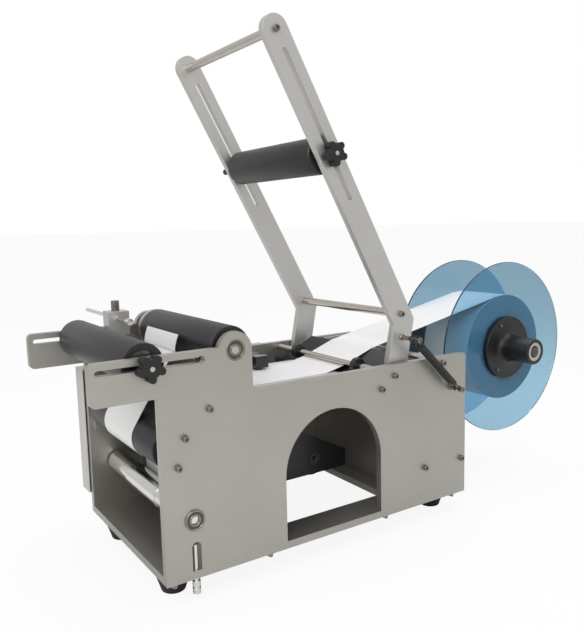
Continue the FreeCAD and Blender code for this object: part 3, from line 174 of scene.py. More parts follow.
def finish(name, colour, metal=0.0, rough=0.5, tone=0.06, cloud=14, grain=900, bump=0.06,
           stretch=(1, 1, 1), coat=0.0):
    """A surface with fine grain in its relief and a cloudy change of tone and gloss."""
    material = bpy.data.materials.new(name)
    material.use_nodes = True
    material.diffuse_color = (*colour, 1)
    tree = material.node_tree
    skin = tree.nodes["Principled BSDF"]
    skin.inputs["Metallic"].default_value = metal
    skin.inputs["Coat Weight"].default_value = coat
    place = tree.nodes.new("ShaderNodeTexCoord")
    clouds = tree.nodes.new("ShaderNodeTexNoise")
    clouds.inputs["Scale"].default_value = cloud
    clouds.inputs["Detail"].default_value = 3
    tree.links.new(place.outputs["Object"], clouds.inputs["Vector"])
    ramp = tree.nodes.new("ShaderNodeValToRGB")
    ramp.color_ramp.elements[0].position = 0.3
    ramp.color_ramp.elements[1].position = 0.7
    ramp.color_ramp.elements[0].color = (*[c * (1 - tone) for c in colour], 1)
    ramp.color_ramp.elements[1].color = (*[min(1, c * (1 + tone)) for c in colour], 1)
    tree.links.new(clouds.outputs["Fac"], ramp.inputs["Fac"])
    tree.links.new(ramp.outputs["Color"], skin.inputs["Base Color"])
    squeeze = tree.nodes.new("ShaderNodeMapping")
    squeeze.inputs["Scale"].default_value = stretch
    tree.links.new(place.outputs["Object"], squeeze.inputs["Vector"])
    grains = tree.nodes.new("ShaderNodeTexNoise")
    grains.inputs["Scale"].default_value = grain
    grains.inputs["Detail"].default_value = 2
    tree.links.new(squeeze.outputs["Vector"], grains.inputs["Vector"])
    spread = tree.nodes.new("ShaderNodeMapRange")
    spread.inputs["To Min"].default_value = max(0.02, rough - GLOSS_SPREAD)
    spread.inputs["To Max"].default_value = min(1, rough + GLOSS_SPREAD)
    tree.links.new(grains.outputs["Fac"], spread.inputs["Value"])
    tree.links.new(spread.outputs["Result"], skin.inputs["Roughness"])
    relief = tree.nodes.new("ShaderNodeBump")
    relief.inputs["Strength"].default_value = bump
    relief.inputs["Distance"].default_value = RELIEF_DEPTH
    tree.links.new(grains.outputs["Fac"], relief.inputs["Height"])
    tree.links.new(relief.outputs["Normal"], skin.inputs["Normal"])
    return material


def body_of(node):
    return frame["nodes"][node].parent.name.split(":")[1]


def hang(name, mesh, node, hides=True):
    """Hangs a finished mesh on the body of a CAD node, and hides that node unless told not to."""
    mesh.name = name
    piece = bpy.data.objects.new(name, mesh)
    bpy.context.collection.objects.link(piece)
    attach(piece, body_of(node))
    if hides:
        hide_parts(node)
    return piece


def put(mesh, material, node, hides=True):
    """As hang, for a mesh that is all of one material."""
    mesh.materials.clear()
    mesh.materials.append(material)
    return hang(mesh.name, mesh, node, hides)


def smooth(mesh, angle=30):
    mesh.polygons.foreach_set("use_smooth", [True] * len(mesh.polygons))
    mesh.set_sharp_from_angle(angle=math.radians(angle))


MERGE_DISTANCE = 2e-6
CREASE = 35


def broken_edges(node, material, width, steps=2):
    """The node's own shape, merged into one skin, with its sharp edges broken."""
    mesh = bpy.data.meshes.new(node + "_milled")
    work = bmesh.new()
    work.from_mesh(frame["nodes"][node].data)
    bmesh.ops.remove_doubles(work, verts=work.verts, dist=MERGE_DISTANCE)
    bmesh.ops.dissolve_limit(
        work, angle_limit=math.radians(0.4), verts=work.verts, edges=work.edges)
    work.to_mesh(mesh)
    work.free()
    smooth(mesh, CREASE)
    piece = put(mesh, material, node)
    bevel = piece.modifiers.new("broken_edge", "BEVEL")
    bevel.width = width / 1000
    bevel.segments = steps
    bevel.limit_method = "ANGLE"
    bevel.angle_limit = math.radians(CREASE)
    bevel.harden_normals = True
    bevel.use_clamp_overlap = True


plate_aluminium = finish("plate_aluminium", (0.42, 0.405, 0.37), metal=0.9, rough=0.42, tone=0.03)
broken_edges("base_plate", plate_aluminium, 0.6)

# Side plates: the machine's walls, cut from the same 10 mm plate. Each has a wing with a long slot
# for the front roller and a round lug for the drive roller's bearing.
broken_edges("near_side_plate", plate_aluminium, 0.7)
broken_edges("far_side_plate", plate_aluminium, 0.7)

# Cross panels: the thick one closes the rear end, the thin painted one closes off the label bay.
# Both stand on the base between the side plates, held by screws through those plates.
bay_paint = finish("bay_paint", (0.032, 0.033, 0.036), rough=0.42, tone=0.15, bump=0.03)
broken_edges("rear_cross_panel", plate_aluminium, 0.6)
broken_edges("bay_panel", bay_paint, 0.4)

# Label table: a flat sheet that carries the web to the peel edge. It has a pale, smooth laminate.
table_laminate = finish("table_laminate", (0.62, 0.62, 0.62), metal=0.3, rough=0.4, tone=0.03,
                        stretch=(0.03, 1, 1), grain=1400)
broken_edges("label_table", table_laminate, 0.4)

# Peel plate: a folded steel blade whose thin upper edge turns the backing sharply so that the
# label comes away. It is ground bright.
bright_sheet = finish("bright_sheet", (0.62, 0.61, 0.6), metal=1.0, rough=0.3, tone=0.04,
                      stretch=(1, 0.02, 1), grain=1600, bump=0.08)
broken_edges("peel_plate", bright_sheet, 0.2)

# Slope guide: a folded sheet, painted satin black, that leads the web down from the reel onto the
# table. Screws through the side plates hold its tabs.
black_sheet = finish("black_sheet", (0.012, 0.012, 0.013), rough=0.35, tone=0.2, bump=0.05)
broken_edges("web_slope_guide", black_sheet, 0.3)

# Cross rods: ground steel bars that tie the plates together and guide the web.
# The grinding leaves very fine rings round them.
ground_steel = finish("ground_steel", (0.56, 0.53, 0.48), metal=1.0, rough=0.2, tone=0.04,
                      stretch=(0.05, 1, 0.05), grain=2200, bump=0.05)
broken_edges("cross_rods", ground_steel, 0.5)
broken_edges("arm_cross_rods", ground_steel, 0.5)

# Press arms: dog-legged levers milled from plate and blasted lighter than the frame, with a long
# slot for the press roller's axle.
arm_aluminium = finish("arm_aluminium", (0.56, 0.55, 0.525), metal=0.8, rough=0.4, tone=0.03)
broken_edges("near_press_arm", arm_aluminium, 0.8)
broken_edges("far_press_arm", arm_aluminium, 0.8)

# Cap screws: small socket-head machine screws of zinc-plated steel with knurled heads. Their
# hexagon sockets are painted near black: painted shade in the recess. One pattern is set at the
# head end of each screw.
plated_steel = finish("plated_steel", (0.24, 0.225, 0.2), metal=1.0, rough=0.3, tone=0.15, cloud=120)
socket_black = finish("socket_black", (0.006, 0.006, 0.006), rough=0.7, tone=0.3)


def loose_parts(node):
    """The lowest and highest corner of each separate solid in a node."""
    work = bmesh.new()
    work.from_mesh(frame["nodes"][node].data)
    bmesh.ops.remove_doubles(work, verts=work.verts, dist=MERGE_DISTANCE)
    met = set()
    found = []
    for first in work.verts:
        if first in met:
            continue
        queue, spots = [first], []
        while queue:
            vertex = queue.pop()
            if vertex in met:
                continue
            met.add(vertex)
            spots.append(vertex.co.copy())
            queue += [edge.other_vert(vertex) for edge in vertex.link_edges]
        found.append((Vector([min(p[i] for p in spots) for i in range(3)]),
                      Vector([max(p[i] for p in spots) for i in range(3)])))
    work.free()
    return found


def revolve(work, outline, steps, centre, closed=False):
    """Turns (radius, distance) points in millimetres about a line along Y."""
    rings = []
    for radius, along in outline:
        ring = []
        count = steps if radius > 0 else 1
        for step in range(count):
            angle = 2 * math.pi * step / steps
            spot = (radius * math.cos(angle), along, radius * math.sin(angle))
            ring.append(work.verts.new(Vector(centre) + Vector(spot) / 1000))
        rings.append(ring)
    for one, two in zip(rings, rings[1:] + (rings[:1] if closed else [])):
        if len(one) == 1 and len(two) == 1:
            continue
        for step in range(steps):
            after = (step + 1) % steps
            corners = [one[step % len(one)], one[after % len(one)],
                       two[after % len(two)], two[step % len(two)]]
            work.faces.new(list(dict.fromkeys(corners)))


def mesh_of(name, work, angle=30):
    """The finished mesh of a piece in work, its faces pointing outwards."""
    bmesh.ops.recalc_face_normals(work, faces=work.faces)
    mesh = bpy.data.meshes.new(name)
    work.to_mesh(mesh)
    work.free()
    smooth(mesh, angle)
    return mesh


def turned_mesh(name, outlines, steps, centre):
    """A mesh of turned rings, each outline closed on itself."""
    work = bmesh.new()
    for outline in outlines:
        revolve(work, outline, steps, centre, closed=True)
    return mesh_of(name, work)


HEAD_RADIUS, HEAD_HEIGHT, SOCKET_RADIUS, SOCKET_DEPTH = 4.25, 5.0, 2.2, 2.6
KNURLS = 30


def screw_pattern():
    """A screw head along -Y with its seat at the origin: knurled side, rounded rim, hexagon socket."""
    work = bmesh.new()
    levels = [(0.0, 1.0), (0.3, 1.0), (HEAD_HEIGHT - 0.7, 1.0), (HEAD_HEIGHT - 0.2, 0.93),
              (HEAD_HEIGHT, 0.84)]
    rings = []
    for high, share in levels:
        ring = []
        for step in range(KNURLS * 2):
            groove = 0.96 if step % 2 and high < HEAD_HEIGHT - 0.5 else 1.0
            angle = math.pi * step / KNURLS
            radius = HEAD_RADIUS * share * groove
            ring.append(work.verts.new((radius * math.cos(angle), -high, radius * math.sin(angle))))
        rings.append(ring)
    count = KNURLS * 2
    hexagon = [[work.verts.new((SOCKET_RADIUS * math.cos(math.pi * k / 3), -high,
                                SOCKET_RADIUS * math.sin(math.pi * k / 3))) for k in range(6)]
               for high in (HEAD_HEIGHT - 0.15, HEAD_HEIGHT - SOCKET_DEPTH)]
    for one, two in zip(rings, rings[1:]):
        for step in range(count):
            work.faces.new((one[step], one[(step + 1) % count], two[(step + 1) % count], two[step]))
    per_side = count // 6
    for k in range(6):
        for step in range(per_side):
            index = k * per_side + step
            start = hexagon[0][k if step < per_side // 2 else (k + 1) % 6]
            work.faces.new((rings[-1][index], rings[-1][(index + 1) % count], start))
        middle = k * per_side + per_side // 2
        work.faces.new((rings[-1][middle], hexagon[0][(k + 1) % 6], hexagon[0][k]))
        # The socket's walls and floor take the second material, painted near black as shade in the
        # recess.
        wall = work.faces.new((hexagon[0][k], hexagon[0][(k + 1) % 6],
                               hexagon[1][(k + 1) % 6], hexagon[1][k]))
        wall.material_index = 1
    work.faces.new(hexagon[1]).material_index = 1
    work.faces.new(list(reversed(rings[0])))
    bmesh.ops.recalc_face_normals(work, faces=work.faces)
    for vertex in work.verts:
        vertex.co /= 1000
    mesh = bpy.data.meshes.new("screw_head_pattern")
    work.to_mesh(mesh)
    work.free()
    mesh.materials.append(plated_steel)
    mesh.materials.append(socket_black)
    pattern = bpy.data.objects.new("screw_head_pattern", mesh)
    bpy.context.collection.objects.link(pattern)
    return pattern


def set_on_points(name, spots, turns, pattern, scale=1.0):
    """Geometry Nodes: the pattern set down at every point, turned by the point's own angles."""
    points = bpy.data.meshes.new(name)
    points.from_pydata([tuple(s) for s in spots], [], [])
    angles = points.attributes.new("turning", "FLOAT_VECTOR", "POINT")
    for index, turning in enumerate(turns):
        angles.data[index].vector = turning
    holder = bpy.data.objects.new(name, points)
    bpy.context.collection.objects.link(holder)
    tree = bpy.data.node_groups.new(name + "_tree", "GeometryNodeTree")
    tree.interface.new_socket("Geometry", in_out="INPUT", socket_type="NodeSocketGeometry")
    size = tree.interface.new_socket("Size", in_out="INPUT", socket_type="NodeSocketFloat")
    tree.interface.new_socket("Geometry", in_out="OUTPUT", socket_type="NodeSocketGeometry")
    group_in = tree.nodes.new("NodeGroupInput")
    group_out = tree.nodes.new("NodeGroupOutput")
    info = tree.nodes.new("GeometryNodeObjectInfo")
    info.inputs["Object"].default_value = pattern
    setter = tree.nodes.new("GeometryNodeInstanceOnPoints")
    attribute = tree.nodes.new("GeometryNodeInputNamedAttribute")
    attribute.data_type = "FLOAT_VECTOR"
    attribute.inputs["Name"].default_value = "turning"
    real = tree.nodes.new("GeometryNodeRealizeInstances")
    tree.links.new(group_in.outputs["Geometry"], setter.inputs["Points"])
    tree.links.new(info.outputs["Geometry"], setter.inputs["Instance"])
    tree.links.new(attribute.outputs["Attribute"], setter.inputs["Rotation"])
    tree.links.new(group_in.outputs["Size"], setter.inputs["Scale"])
    tree.links.new(setter.outputs["Instances"], real.inputs["Geometry"])
    last = real.outputs["Geometry"]
    for index, material in enumerate(pattern.data.materials):
        painter = tree.nodes.new("GeometryNodeSetMaterial")
        painter.inputs["Material"].default_value = material
        chosen = tree.nodes.new("GeometryNodeInputMaterialIndex")
        same = tree.nodes.new("FunctionNodeCompare")
        same.data_type = "INT"
        same.operation = "EQUAL"
        same.inputs[3].default_value = index
        tree.links.new(chosen.outputs[0], same.inputs[2])
        if index:
            tree.links.new(same.outputs[0], painter.inputs["Selection"])
        tree.links.new(last, painter.inputs["Geometry"])
        last = painter.outputs["Geometry"]
    tree.links.new(last, group_out.inputs["Geometry"])
    modifier = holder.modifiers.new("set_down", "NODES")
    modifier.node_group = tree
    modifier[size.identifier] = scale
    bpy.context.view_layer.update()
    graph = bpy.context.evaluated_depsgraph_get()
    mesh = bpy.data.meshes.new_from_object(holder.evaluated_get(graph))
    bpy.data.objects.remove(holder)
    return mesh


head = screw_pattern()
machine_middle = at(0, 139, 0).y
LONGEST_SCREW = 16


def screw_heads(name, node):
    """Heads at the outer end of each screw in a node; gives back the boxes of its spring studs."""
    spots, turns = [], []
    stud_boxes = []
    for low, high in loose_parts(node):
        middle = (low + high) / 2
        extent = (high - low) * 1000
        if extent.z > 12 and extent.y < 12:
            spots.append(Vector((middle.x, middle.y, low.z + HEAD_HEIGHT / 1000)))
            turns.append((math.pi / 2, 0.4, 0))
        elif extent.y > LONGEST_SCREW:
            stud_boxes.append((low, high))
        elif middle.y < machine_middle:
            spots.append(Vector((middle.x, low.y + HEAD_HEIGHT / 1000, middle.z)))
            turns.append((0, 0.3 * len(spots), 0))
        else:
            spots.append(Vector((middle.x, high.y - HEAD_HEIGHT / 1000, middle.z)))
            turns.append((0, 0.3 * len(spots), math.pi))
    mesh = set_on_points(name, spots, turns, head)
    smooth(mesh)
    hang(name, mesh, node)
    return stud_boxes


def hexagon_nut(work, centre, radius, start, end):
    """A chamfered hexagon nut along Y."""
    rings = []
    for along, share in ((start, 0.9), (start + 0.5, 1.0), (end - 0.5, 1.0), (end, 0.9)):
        reach = radius * share
        rings.append([work.verts.new(Vector(centre) + Vector(
            (reach * math.cos(math.pi * k / 3), along, reach * math.sin(math.pi * k / 3))) / 1000)
            for k in range(6)])
    for one, two in zip(rings, rings[1:]):
        for k in range(6):
            work.faces.new((one[k], one[(k + 1) % 6], two[(k + 1) % 6], two[k]))
    work.faces.new(rings[0])
    work.faces.new(rings[-1])


NECK_RADIUS, NECK_LENGTH, SHOULDER_RADIUS, NUT_RADIUS = 2.0, 22, 3.0, 5.0
PLATE_DEPTH, NUT_HEIGHT = 10, 3


def spring_post(name, low, high, node):
    """A spring stud: a nut on the plate, a shoulder, a waisted neck and a domed cap with a socket."""
    centre = Vector(((low.x + high.x) / 2, 0, (low.z + high.z) / 2))
    start = low.y * 1000
    nut_face = high.y * 1000 - PLATE_DEPTH
    cap = [(0, start + 1.2), (1.6, start + 1.2), (1.6, start), (3.4, start), (4.1, start + 0.5),
           (4.1, start + 2.2), (3.6, start + 2.6)]
    neck = [(NECK_RADIUS, start + 2.6), (NECK_RADIUS, start + NECK_LENGTH)]
    shoulder_end = nut_face - 2
    work = bmesh.new()
    revolve(work, cap + neck, 40, centre)
    revolve(work, [neck[-1], (SHOULDER_RADIUS, start + NECK_LENGTH), (SHOULDER_RADIUS, shoulder_end),
                   (0, shoulder_end)], 40, centre)
    hexagon_nut(work, centre, NUT_RADIUS, nut_face - NUT_HEIGHT, nut_face)
    put(mesh_of(name, work), plated_steel, node, hides=False)


frame_studs = screw_heads("frame_screw_heads", "machine_screws")
arm_studs = screw_heads("arm_screw_heads", "arm_fasteners")
spring_post("lower_spring_post", *frame_studs[0], "machine_screws")
spring_post("upper_spring_post", *arm_studs[0], "arm_fasteners")

# Rubber feet: tapered black rubber cups under the corners of the base, with a slightly bloomed,
# matt surface.
foot_rubber = finish("foot_rubber", (0.013, 0.013, 0.014), rough=0.62, tone=0.25, bump=0.12, grain=500)
broken_edges("rubber_feet", foot_rubber, 1.2, steps=3)

# Shaft bearings: shielded ball bearings pressed into the side plates; outer race, sunken shield
# and inner race.
race_steel = finish("race_steel", (0.26, 0.24, 0.21), metal=1.0, rough=0.3, tone=0.1, cloud=80)
shield_steel = finish("shield_steel", (0.105, 0.1, 0.09), metal=0.8, rough=0.42, tone=0.15, cloud=80)
for index, (low, high) in enumerate(loose_parts("shaft_bearings")):
    centre = Vector(((low.x + high.x) / 2, 0, (low.z + high.z) / 2))
    outward = -1 if low.y < machine_middle else 1
    face = (low.y if outward < 0 else high.y) * 1000
    back = (high.y if outward < 0 else low.y) * 1000
    outer = [(13.0, back), (13.0, face - outward * 0.4), (12.6, face), (10.9, face),
             (10.4, face - outward * 0.7), (10.4, back)]
    inner = [(7.6, back), (7.6, face - outward * 0.6), (7.2, face - outward * 0.1),
             (5.3, face - outward * 0.1), (5.06, face - outward * 0.4), (5.06, back)]
    shield = [(10.4, face - outward * 0.9), (9.6, face - outward * 0.7), (8.6, face - outward * 1.1),
              (7.6, face - outward * 0.9), (7.6, face - outward * 2.5), (10.4, face - outward * 2.5)]
    races = turned_mesh(f"bearing_races_{index}", [outer, inner], 72, centre)
    put(races, race_steel, "shaft_bearings", hides=index == 0)
    lid = turned_mesh(f"bearing_shield_{index}", [shield], 72, centre)
    put(lid, shield_steel, "shaft_bearings", hides=False)

# Bearing blocks: machined aluminium carriers of the traction roller's shaft. Each is screwed to
# the inner face of its side plate.
broken_edges("bearing_blocks", plate_aluminium, 0.6)

# Rubber rollers: a thick black sleeve ground true on an aluminium core, with chamfered ends and a
# bearing let into each end. The sleeve has a satin skin with a faint lengthwise wipe.
roller_rubber = finish("roller_rubber", (0.009, 0.009, 0.010), rough=0.42, tone=0.25, cloud=30,
                       grain=1100, bump=0.1, stretch=(1, 0.15, 1))
core_aluminium = finish("core_aluminium", (0.55, 0.53, 0.5), metal=1.0, rough=0.28, tone=0.05,
                        stretch=(0.05, 1, 0.05), grain=1800, bump=0.06)


def axis_of(node):
    """The line, the two ends and the radius of a round node that lies along Y."""
    low, high = (Vector(corner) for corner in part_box(node))
    centre = Vector(((low.x + high.x) / 2, 0, (low.z + high.z) / 2))
    return centre, low.y * 1000, high.y * 1000, (high.x - low.x) * 500


RIM, RECESS, RING_DEPTH = 17.0, 3.0, 6


def roller_sleeve(node, bore, hub_length=0.0, chamfer=2.0):
    """The rubber sleeve, short of a bare hub at the far end, and the rings let into both ends."""
    centre, start, far, radius = axis_of(node)
    end = far - hub_length
    outline = [
        (RIM, start + RECESS), (RIM, start + 0.4), (RIM + 0.4, start),
        (radius - chamfer, start), (radius - chamfer * 0.5, start + chamfer * 0.13),
        (radius - chamfer * 0.13, start + chamfer * 0.5), (radius, start + chamfer),
        (radius, end - chamfer), (radius - chamfer * 0.13, end - chamfer * 0.5),
        (radius - chamfer * 0.5, end - chamfer * 0.13), (radius - chamfer, end), (RIM, end)]
    put(turned_mesh(node + "_sleeve", [outline], 96, centre), roller_rubber, node)
    near_ring = [(RIM, start + RECESS), (bore + 1.2, start + RECESS), (bore, start + RECESS + 0.8),
                 (bore, start + RECESS + RING_DEPTH), (RIM, start + RECESS + RING_DEPTH)]
    far_ring = [(RIM, far - RECESS), (bore, far - RECESS), (bore, far - RECESS - RING_DEPTH),
                (RIM, far - RECESS - RING_DEPTH)]
    rings = turned_mesh(node + "_end_rings", [near_ring, far_ring], 64, centre)
    put(rings, race_steel, node, hides=False)


SHAFT_BORE, AXLE_BORE, HUB_LENGTH = 5.1, 6.1, 12
roller_sleeve("drive_roller", SHAFT_BORE, hub_length=HUB_LENGTH)
centre, start, far, radius = axis_of("drive_roller")
hub = [(SHAFT_BORE, far - HUB_LENGTH - RING_DEPTH), (radius - 1.0, far - HUB_LENGTH - RING_DEPTH),
       (radius - 1.0, far - 1.0), (radius - 2.0, far), (RIM + 0.2, far), (RIM + 0.2, far - RECESS),
       (SHAFT_BORE, far - RECESS)]
put(turned_mesh("drive_roller_hub", [hub], 96, centre), core_aluminium, "drive_roller", hides=False)
roller_sleeve("front_roller", AXLE_BORE)
roller_sleeve("press_roller", AXLE_BORE, chamfer=4.0)
roller_sleeve("traction_roller", SHAFT_BORE)

# Shafts and axles: ground steel bars through the rollers; the drive shaft and the traction shaft
# carry their toothed pulleys.
broken_edges("drive_shaft", ground_steel, 0.5)
broken_edges("traction_shaft", ground_steel, 0.5)
broken_edges("press_axle", ground_steel, 0.4)
broken_edges("front_axle", ground_steel, 0.4)

# Take-up spool: a polished bar that winds up the waste backing paper, of which a few turns are
# already on it.
spool_bar = finish("spool_bar", (0.72, 0.71, 0.69), metal=1.0, rough=0.16, tone=0.03,
                   stretch=(0.05, 1, 0.05), grain=1800, bump=0.03)
broken_edges("take_up_spool", spool_bar, 0.4)

# Star knobs: five-lobed knobs of matt black moulded nylon that clamp the roller axles.
knob_nylon = finish("knob_nylon", (0.006, 0.006, 0.007), rough=0.6, tone=0.25, bump=0.15, grain=1200)
for node in ("near_press_knob", "far_press_knob", "near_front_knob", "far_front_knob"):
    broken_edges(node, knob_nylon, 1.6, steps=4)

# Tension springs: two close-wound springs of dark oiled wire side by side, hooked over the studs
# of the arm and of the frame.
spring_wire = finish("spring_wire", (0.06, 0.06, 0.06), metal=0.9, rough=0.36, tone=0.2, cloud=200)
COIL_RADIUS, WIRE_RADIUS, COIL_TURNS, HOOK_LENGTH = 3.1, 0.9, 42, 14
LOW_EYE_RADIUS, TOP_EYE_RADIUS = 3.2, 4.8
STUD_UP_THE_LEG, LEG_LEAN = 53, math.radians(11.4)
low_hook = at(468, 0, 171)
high_hook = at(371 + STUD_UP_THE_LEG * math.sin(LEG_LEAN), 0, 203 + STUD_UP_THE_LEG * math.cos(LEG_LEAN))
along = (high_hook - low_hook).normalized()
spring_span = (high_hook - low_hook).length * 1000


def wire_tube(work, path, radius, sides=8):
    """A round wire along a path, closed at both ends."""
    across = Vector((0, 1, 0))
    rings = []
    for index, spot in enumerate(path):
        ahead = path[min(index + 1, len(path) - 1)] - path[max(index - 1, 0)]
        ahead.normalize()
        across = (across - ahead * across.dot(ahead)).normalized()
        over = ahead.cross(across)
        rings.append([work.verts.new(spot + (across * math.cos(2 * math.pi * k / sides)
                                             + over * math.sin(2 * math.pi * k / sides)) * radius / 1000)
                      for k in range(sides)])
    for one, two in zip(rings, rings[1:]):
        for k in range(sides):
            work.faces.new((one[k], one[(k + 1) % sides], two[(k + 1) % sides], two[k]))
    work.faces.new(rings[0])
    work.faces.new(rings[-1])


def eye(middle, radius, flat):
    """The open ring at an end of a spring."""
    sweep = [math.radians(-80 + 340 * step / 20) for step in range(21)]
    return [middle + (flat * math.sin(angle) - along * math.cos(angle)) * radius / 1000
            for angle in sweep]


def coil_spring(name, y):
    """One wire: ring round the lower stud, shank, close coils, shank and ring round the upper stud."""
    side = Vector((0, 1, 0))
    flat = along.cross(side)
    origin = Vector((low_hook.x, y, low_hook.z))
    path = eye(origin, LOW_EYE_RADIUS, flat)
    steps = 16
    last = COIL_TURNS * steps
    for step in range(last + 1):
        angle = 2 * math.pi * step / steps
        rise = HOOK_LENGTH + (spring_span - 2 * HOOK_LENGTH) * step / last
        grow = min(1.0, step / 8, (last - step) / 8 + 0.02)
        path.append(origin + along * rise / 1000
                    + (flat * math.cos(angle) + side * math.sin(angle)) * COIL_RADIUS * grow / 1000)
    path += eye(Vector((high_hook.x, y, high_hook.z)), TOP_EYE_RADIUS, flat)
    work = bmesh.new()
    wire_tube(work, path, WIRE_RADIUS)
    return mesh_of(name, work, 60)


coils = sorted(loose_parts("tension_springs"), key=lambda pair: pair[0].y)
for label, (low, high) in zip(("near", "far"), coils):
    mesh = coil_spring(label + "_tension_spring", (low.y + high.y) / 2)
    mesh.materials.append(spring_wire)
    piece = bpy.data.objects.new(mesh.name, mesh)
    bpy.context.collection.objects.link(piece)
    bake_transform(piece)
    if label == "near":
        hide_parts("tension_springs", "lower_spring_eyes", "upper_spring_eyes")

# Reel discs: two clear blue acrylic discs that keep the roll of labels straight. Their sawn and
# flamed rims look navy because the light runs along the sheet.


def clear_acrylic(name, colour):
    """Tinted clear plastic that lets lamp light through to what is behind it."""
    material = bpy.data.materials.new(name)
    material.use_nodes = True
    material.diffuse_color = (*colour, 0.6)
    tree = material.node_tree
    skin = tree.nodes["Principled BSDF"]
    skin.inputs["Base Color"].default_value = (*colour, 1)
    skin.inputs["Transmission Weight"].default_value = 1.0
    skin.inputs["Roughness"].default_value = 0.03
    skin.inputs["IOR"].default_value = 1.3
    seen = tree.nodes.new("ShaderNodeLightPath")
    open_pane = tree.nodes.new("ShaderNodeBsdfTransparent")
    open_pane.inputs["Color"].default_value = (*colour, 1)
    mix = tree.nodes.new("ShaderNodeMixShader")
    tree.links.new(seen.outputs["Is Shadow Ray"], mix.inputs[0])
    tree.links.new(skin.outputs[0], mix.inputs[1])
    tree.links.new(open_pane.outputs[0], mix.inputs[2])
    tree.links.new(mix.outputs[0], tree.nodes["Material Output"].inputs["Surface"])
    return material


disc_acrylic = clear_acrylic("disc_acrylic", (0.36, 0.6, 0.76))
rim_acrylic = finish("rim_acrylic", (0.012, 0.045, 0.11), rough=0.2, tone=0.2, cloud=40)
DISC_BORE = 20
for node in ("back_reel_disc", "front_reel_disc"):
    centre, near, far, radius = axis_of(node)
    pane = [(DISC_BORE, near), (radius - 0.8, near), (radius - 0.8, far), (DISC_BORE, far)]
    put(turned_mesh(node + "_pane", [pane], 160, centre), disc_acrylic, node)
    band = [(radius - 0.75, near + 0.1), (radius - 0.3, near), (radius, near + 0.4),
            (radius, far - 0.4), (radius - 0.3, far), (radius - 0.75, far - 0.1)]
    put(turned_mesh(node + "_rim", [band], 160, centre), rim_acrylic, node, hides=False)

# Label roll: die-cut labels on backing paper, wound on a card core. The sides show the fine lines
# of the wound turns; their grey, darker than the roll's face, is painted shade.
roll_paper = finish("roll_paper", (0.72, 0.72, 0.71), rough=0.6, tone=0.03, bump=0.03)
roll_side = bpy.data.materials.new("roll_side")
roll_side.use_nodes = True
tree = roll_side.node_tree
skin = tree.nodes["Principled BSDF"]
skin.inputs["Roughness"].default_value = 0.75
place = tree.nodes.new("ShaderNodeTexCoord")
centring = tree.nodes.new("ShaderNodeMapping")
roll_low, roll_high = (Vector(c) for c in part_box("label_roll"))
roll_centre = (roll_low + roll_high) / 2
centring.inputs["Location"].default_value = -roll_centre
rings = tree.nodes.new("ShaderNodeTexWave")
rings.wave_type = "RINGS"
rings.rings_direction = "Y"
rings.inputs["Scale"].default_value = 150
rings.inputs["Distortion"].default_value = 1.2
rings.inputs["Detail"].default_value = 2
ramp = tree.nodes.new("ShaderNodeValToRGB")
# Painted shade: the sides run from dark to mid grey, darker than the white face, under the real lines of
# the turns.
ramp.color_ramp.elements[0].color = (0.3, 0.31, 0.315, 1)
ramp.color_ramp.elements[1].color = (0.56, 0.57, 0.57, 1)
tree.links.new(place.outputs["Object"], centring.inputs["Vector"])
tree.links.new(centring.outputs["Vector"], rings.inputs["Vector"])
tree.links.new(rings.outputs["Fac"], ramp.inputs["Fac"])
tree.links.new(ramp.outputs["Color"], skin.inputs["Base Color"])
CORE_BORE = 38.5
centre, near, far, radius = axis_of("label_roll")
outline = [(CORE_BORE, near), (radius - 0.3, near), (radius, near + 0.3), (radius, far - 0.3),
           (radius - 0.3, far), (CORE_BORE, far)]
mesh = turned_mesh("wound_labels", [outline], 128, centre)
put(mesh, roll_paper, "label_roll")
mesh.materials.append(roll_side)
for polygon in mesh.polygons:
    if abs(polygon.normal.y) > 0.9:
        polygon.material_index = 1

# Reel core and hub: black anodised turnings. The hub's flange is held by three screws and its flared
# sleeve ends in a light bearing ring round the shaft's socket screw.
black_anodised = finish("black_anodised", (0.012, 0.012, 0.013), metal=0.2, rough=0.38, tone=0.2,
                        bump=0.05, grain=1500)
broken_edges("reel_core", black_anodised, 0.5)
centre, tip, seat, radius = axis_of("reel_hub")
FLANGE_DEPTH, RING_RADIUS = 11, 16.4
flange = seat - FLANGE_DEPTH
outline = [
    (radius - 1, seat), (radius, seat - 1), (radius, flange + 1.2), (radius - 1.2, flange),
    (31.0, flange), (28.5, flange - 0.8), (26.2, flange - 2.6), (24.3, flange - 5.6),
    (22.9, flange - 10), (22.1, flange - 17), (22.0, tip + 2.0), (21.4, tip + 0.6), (20.0, tip),
    (17.0, tip), (RING_RADIUS, tip + 0.5), (RING_RADIUS, seat)]
put(turned_mesh("hub_flange_and_sleeve", [outline], 128, centre), black_anodised, "reel_hub")
ring = [(RING_RADIUS - 0.05, tip + 9), (RING_RADIUS - 0.05, tip + 1.6), (15.6, tip + 1.0),
        (11.0, tip + 1.0), (10.4, tip + 1.6), (10.4, tip + 9)]
pale_ring = finish("pale_ring", (0.42, 0.42, 0.4), metal=0.3, rough=0.45, tone=0.12, cloud=150)
put(turned_mesh("hub_bearing_ring", [ring], 72, centre), pale_ring, "reel_hub", hides=False)
SCREW_CIRCLE, SMALL_SCREW = 0.046, 0.62
spots, turns = [], []
for angle in (118, 232, 352):
    across = Vector((math.cos(math.radians(angle)), 0, math.sin(math.radians(angle)))) * SCREW_CIRCLE
    spots.append(Vector((centre.x, flange / 1000 + 0.0006, centre.z)) + across)
    turns.append((0, angle, 0))
mesh = set_on_points("hub_flange_screws", spots, turns, head, SMALL_SCREW)
smooth(mesh)
hang("hub_flange_screws", mesh, "reel_hub", hides=False)

# Reel shaft and its bracket: a fixed steel shaft on a bar of aluminium plate that is tied to the
# far side plate.
broken_edges("reel_shaft", shield_steel, 0.4)
broken_edges("reel_bracket", plate_aluminium, 0.7)

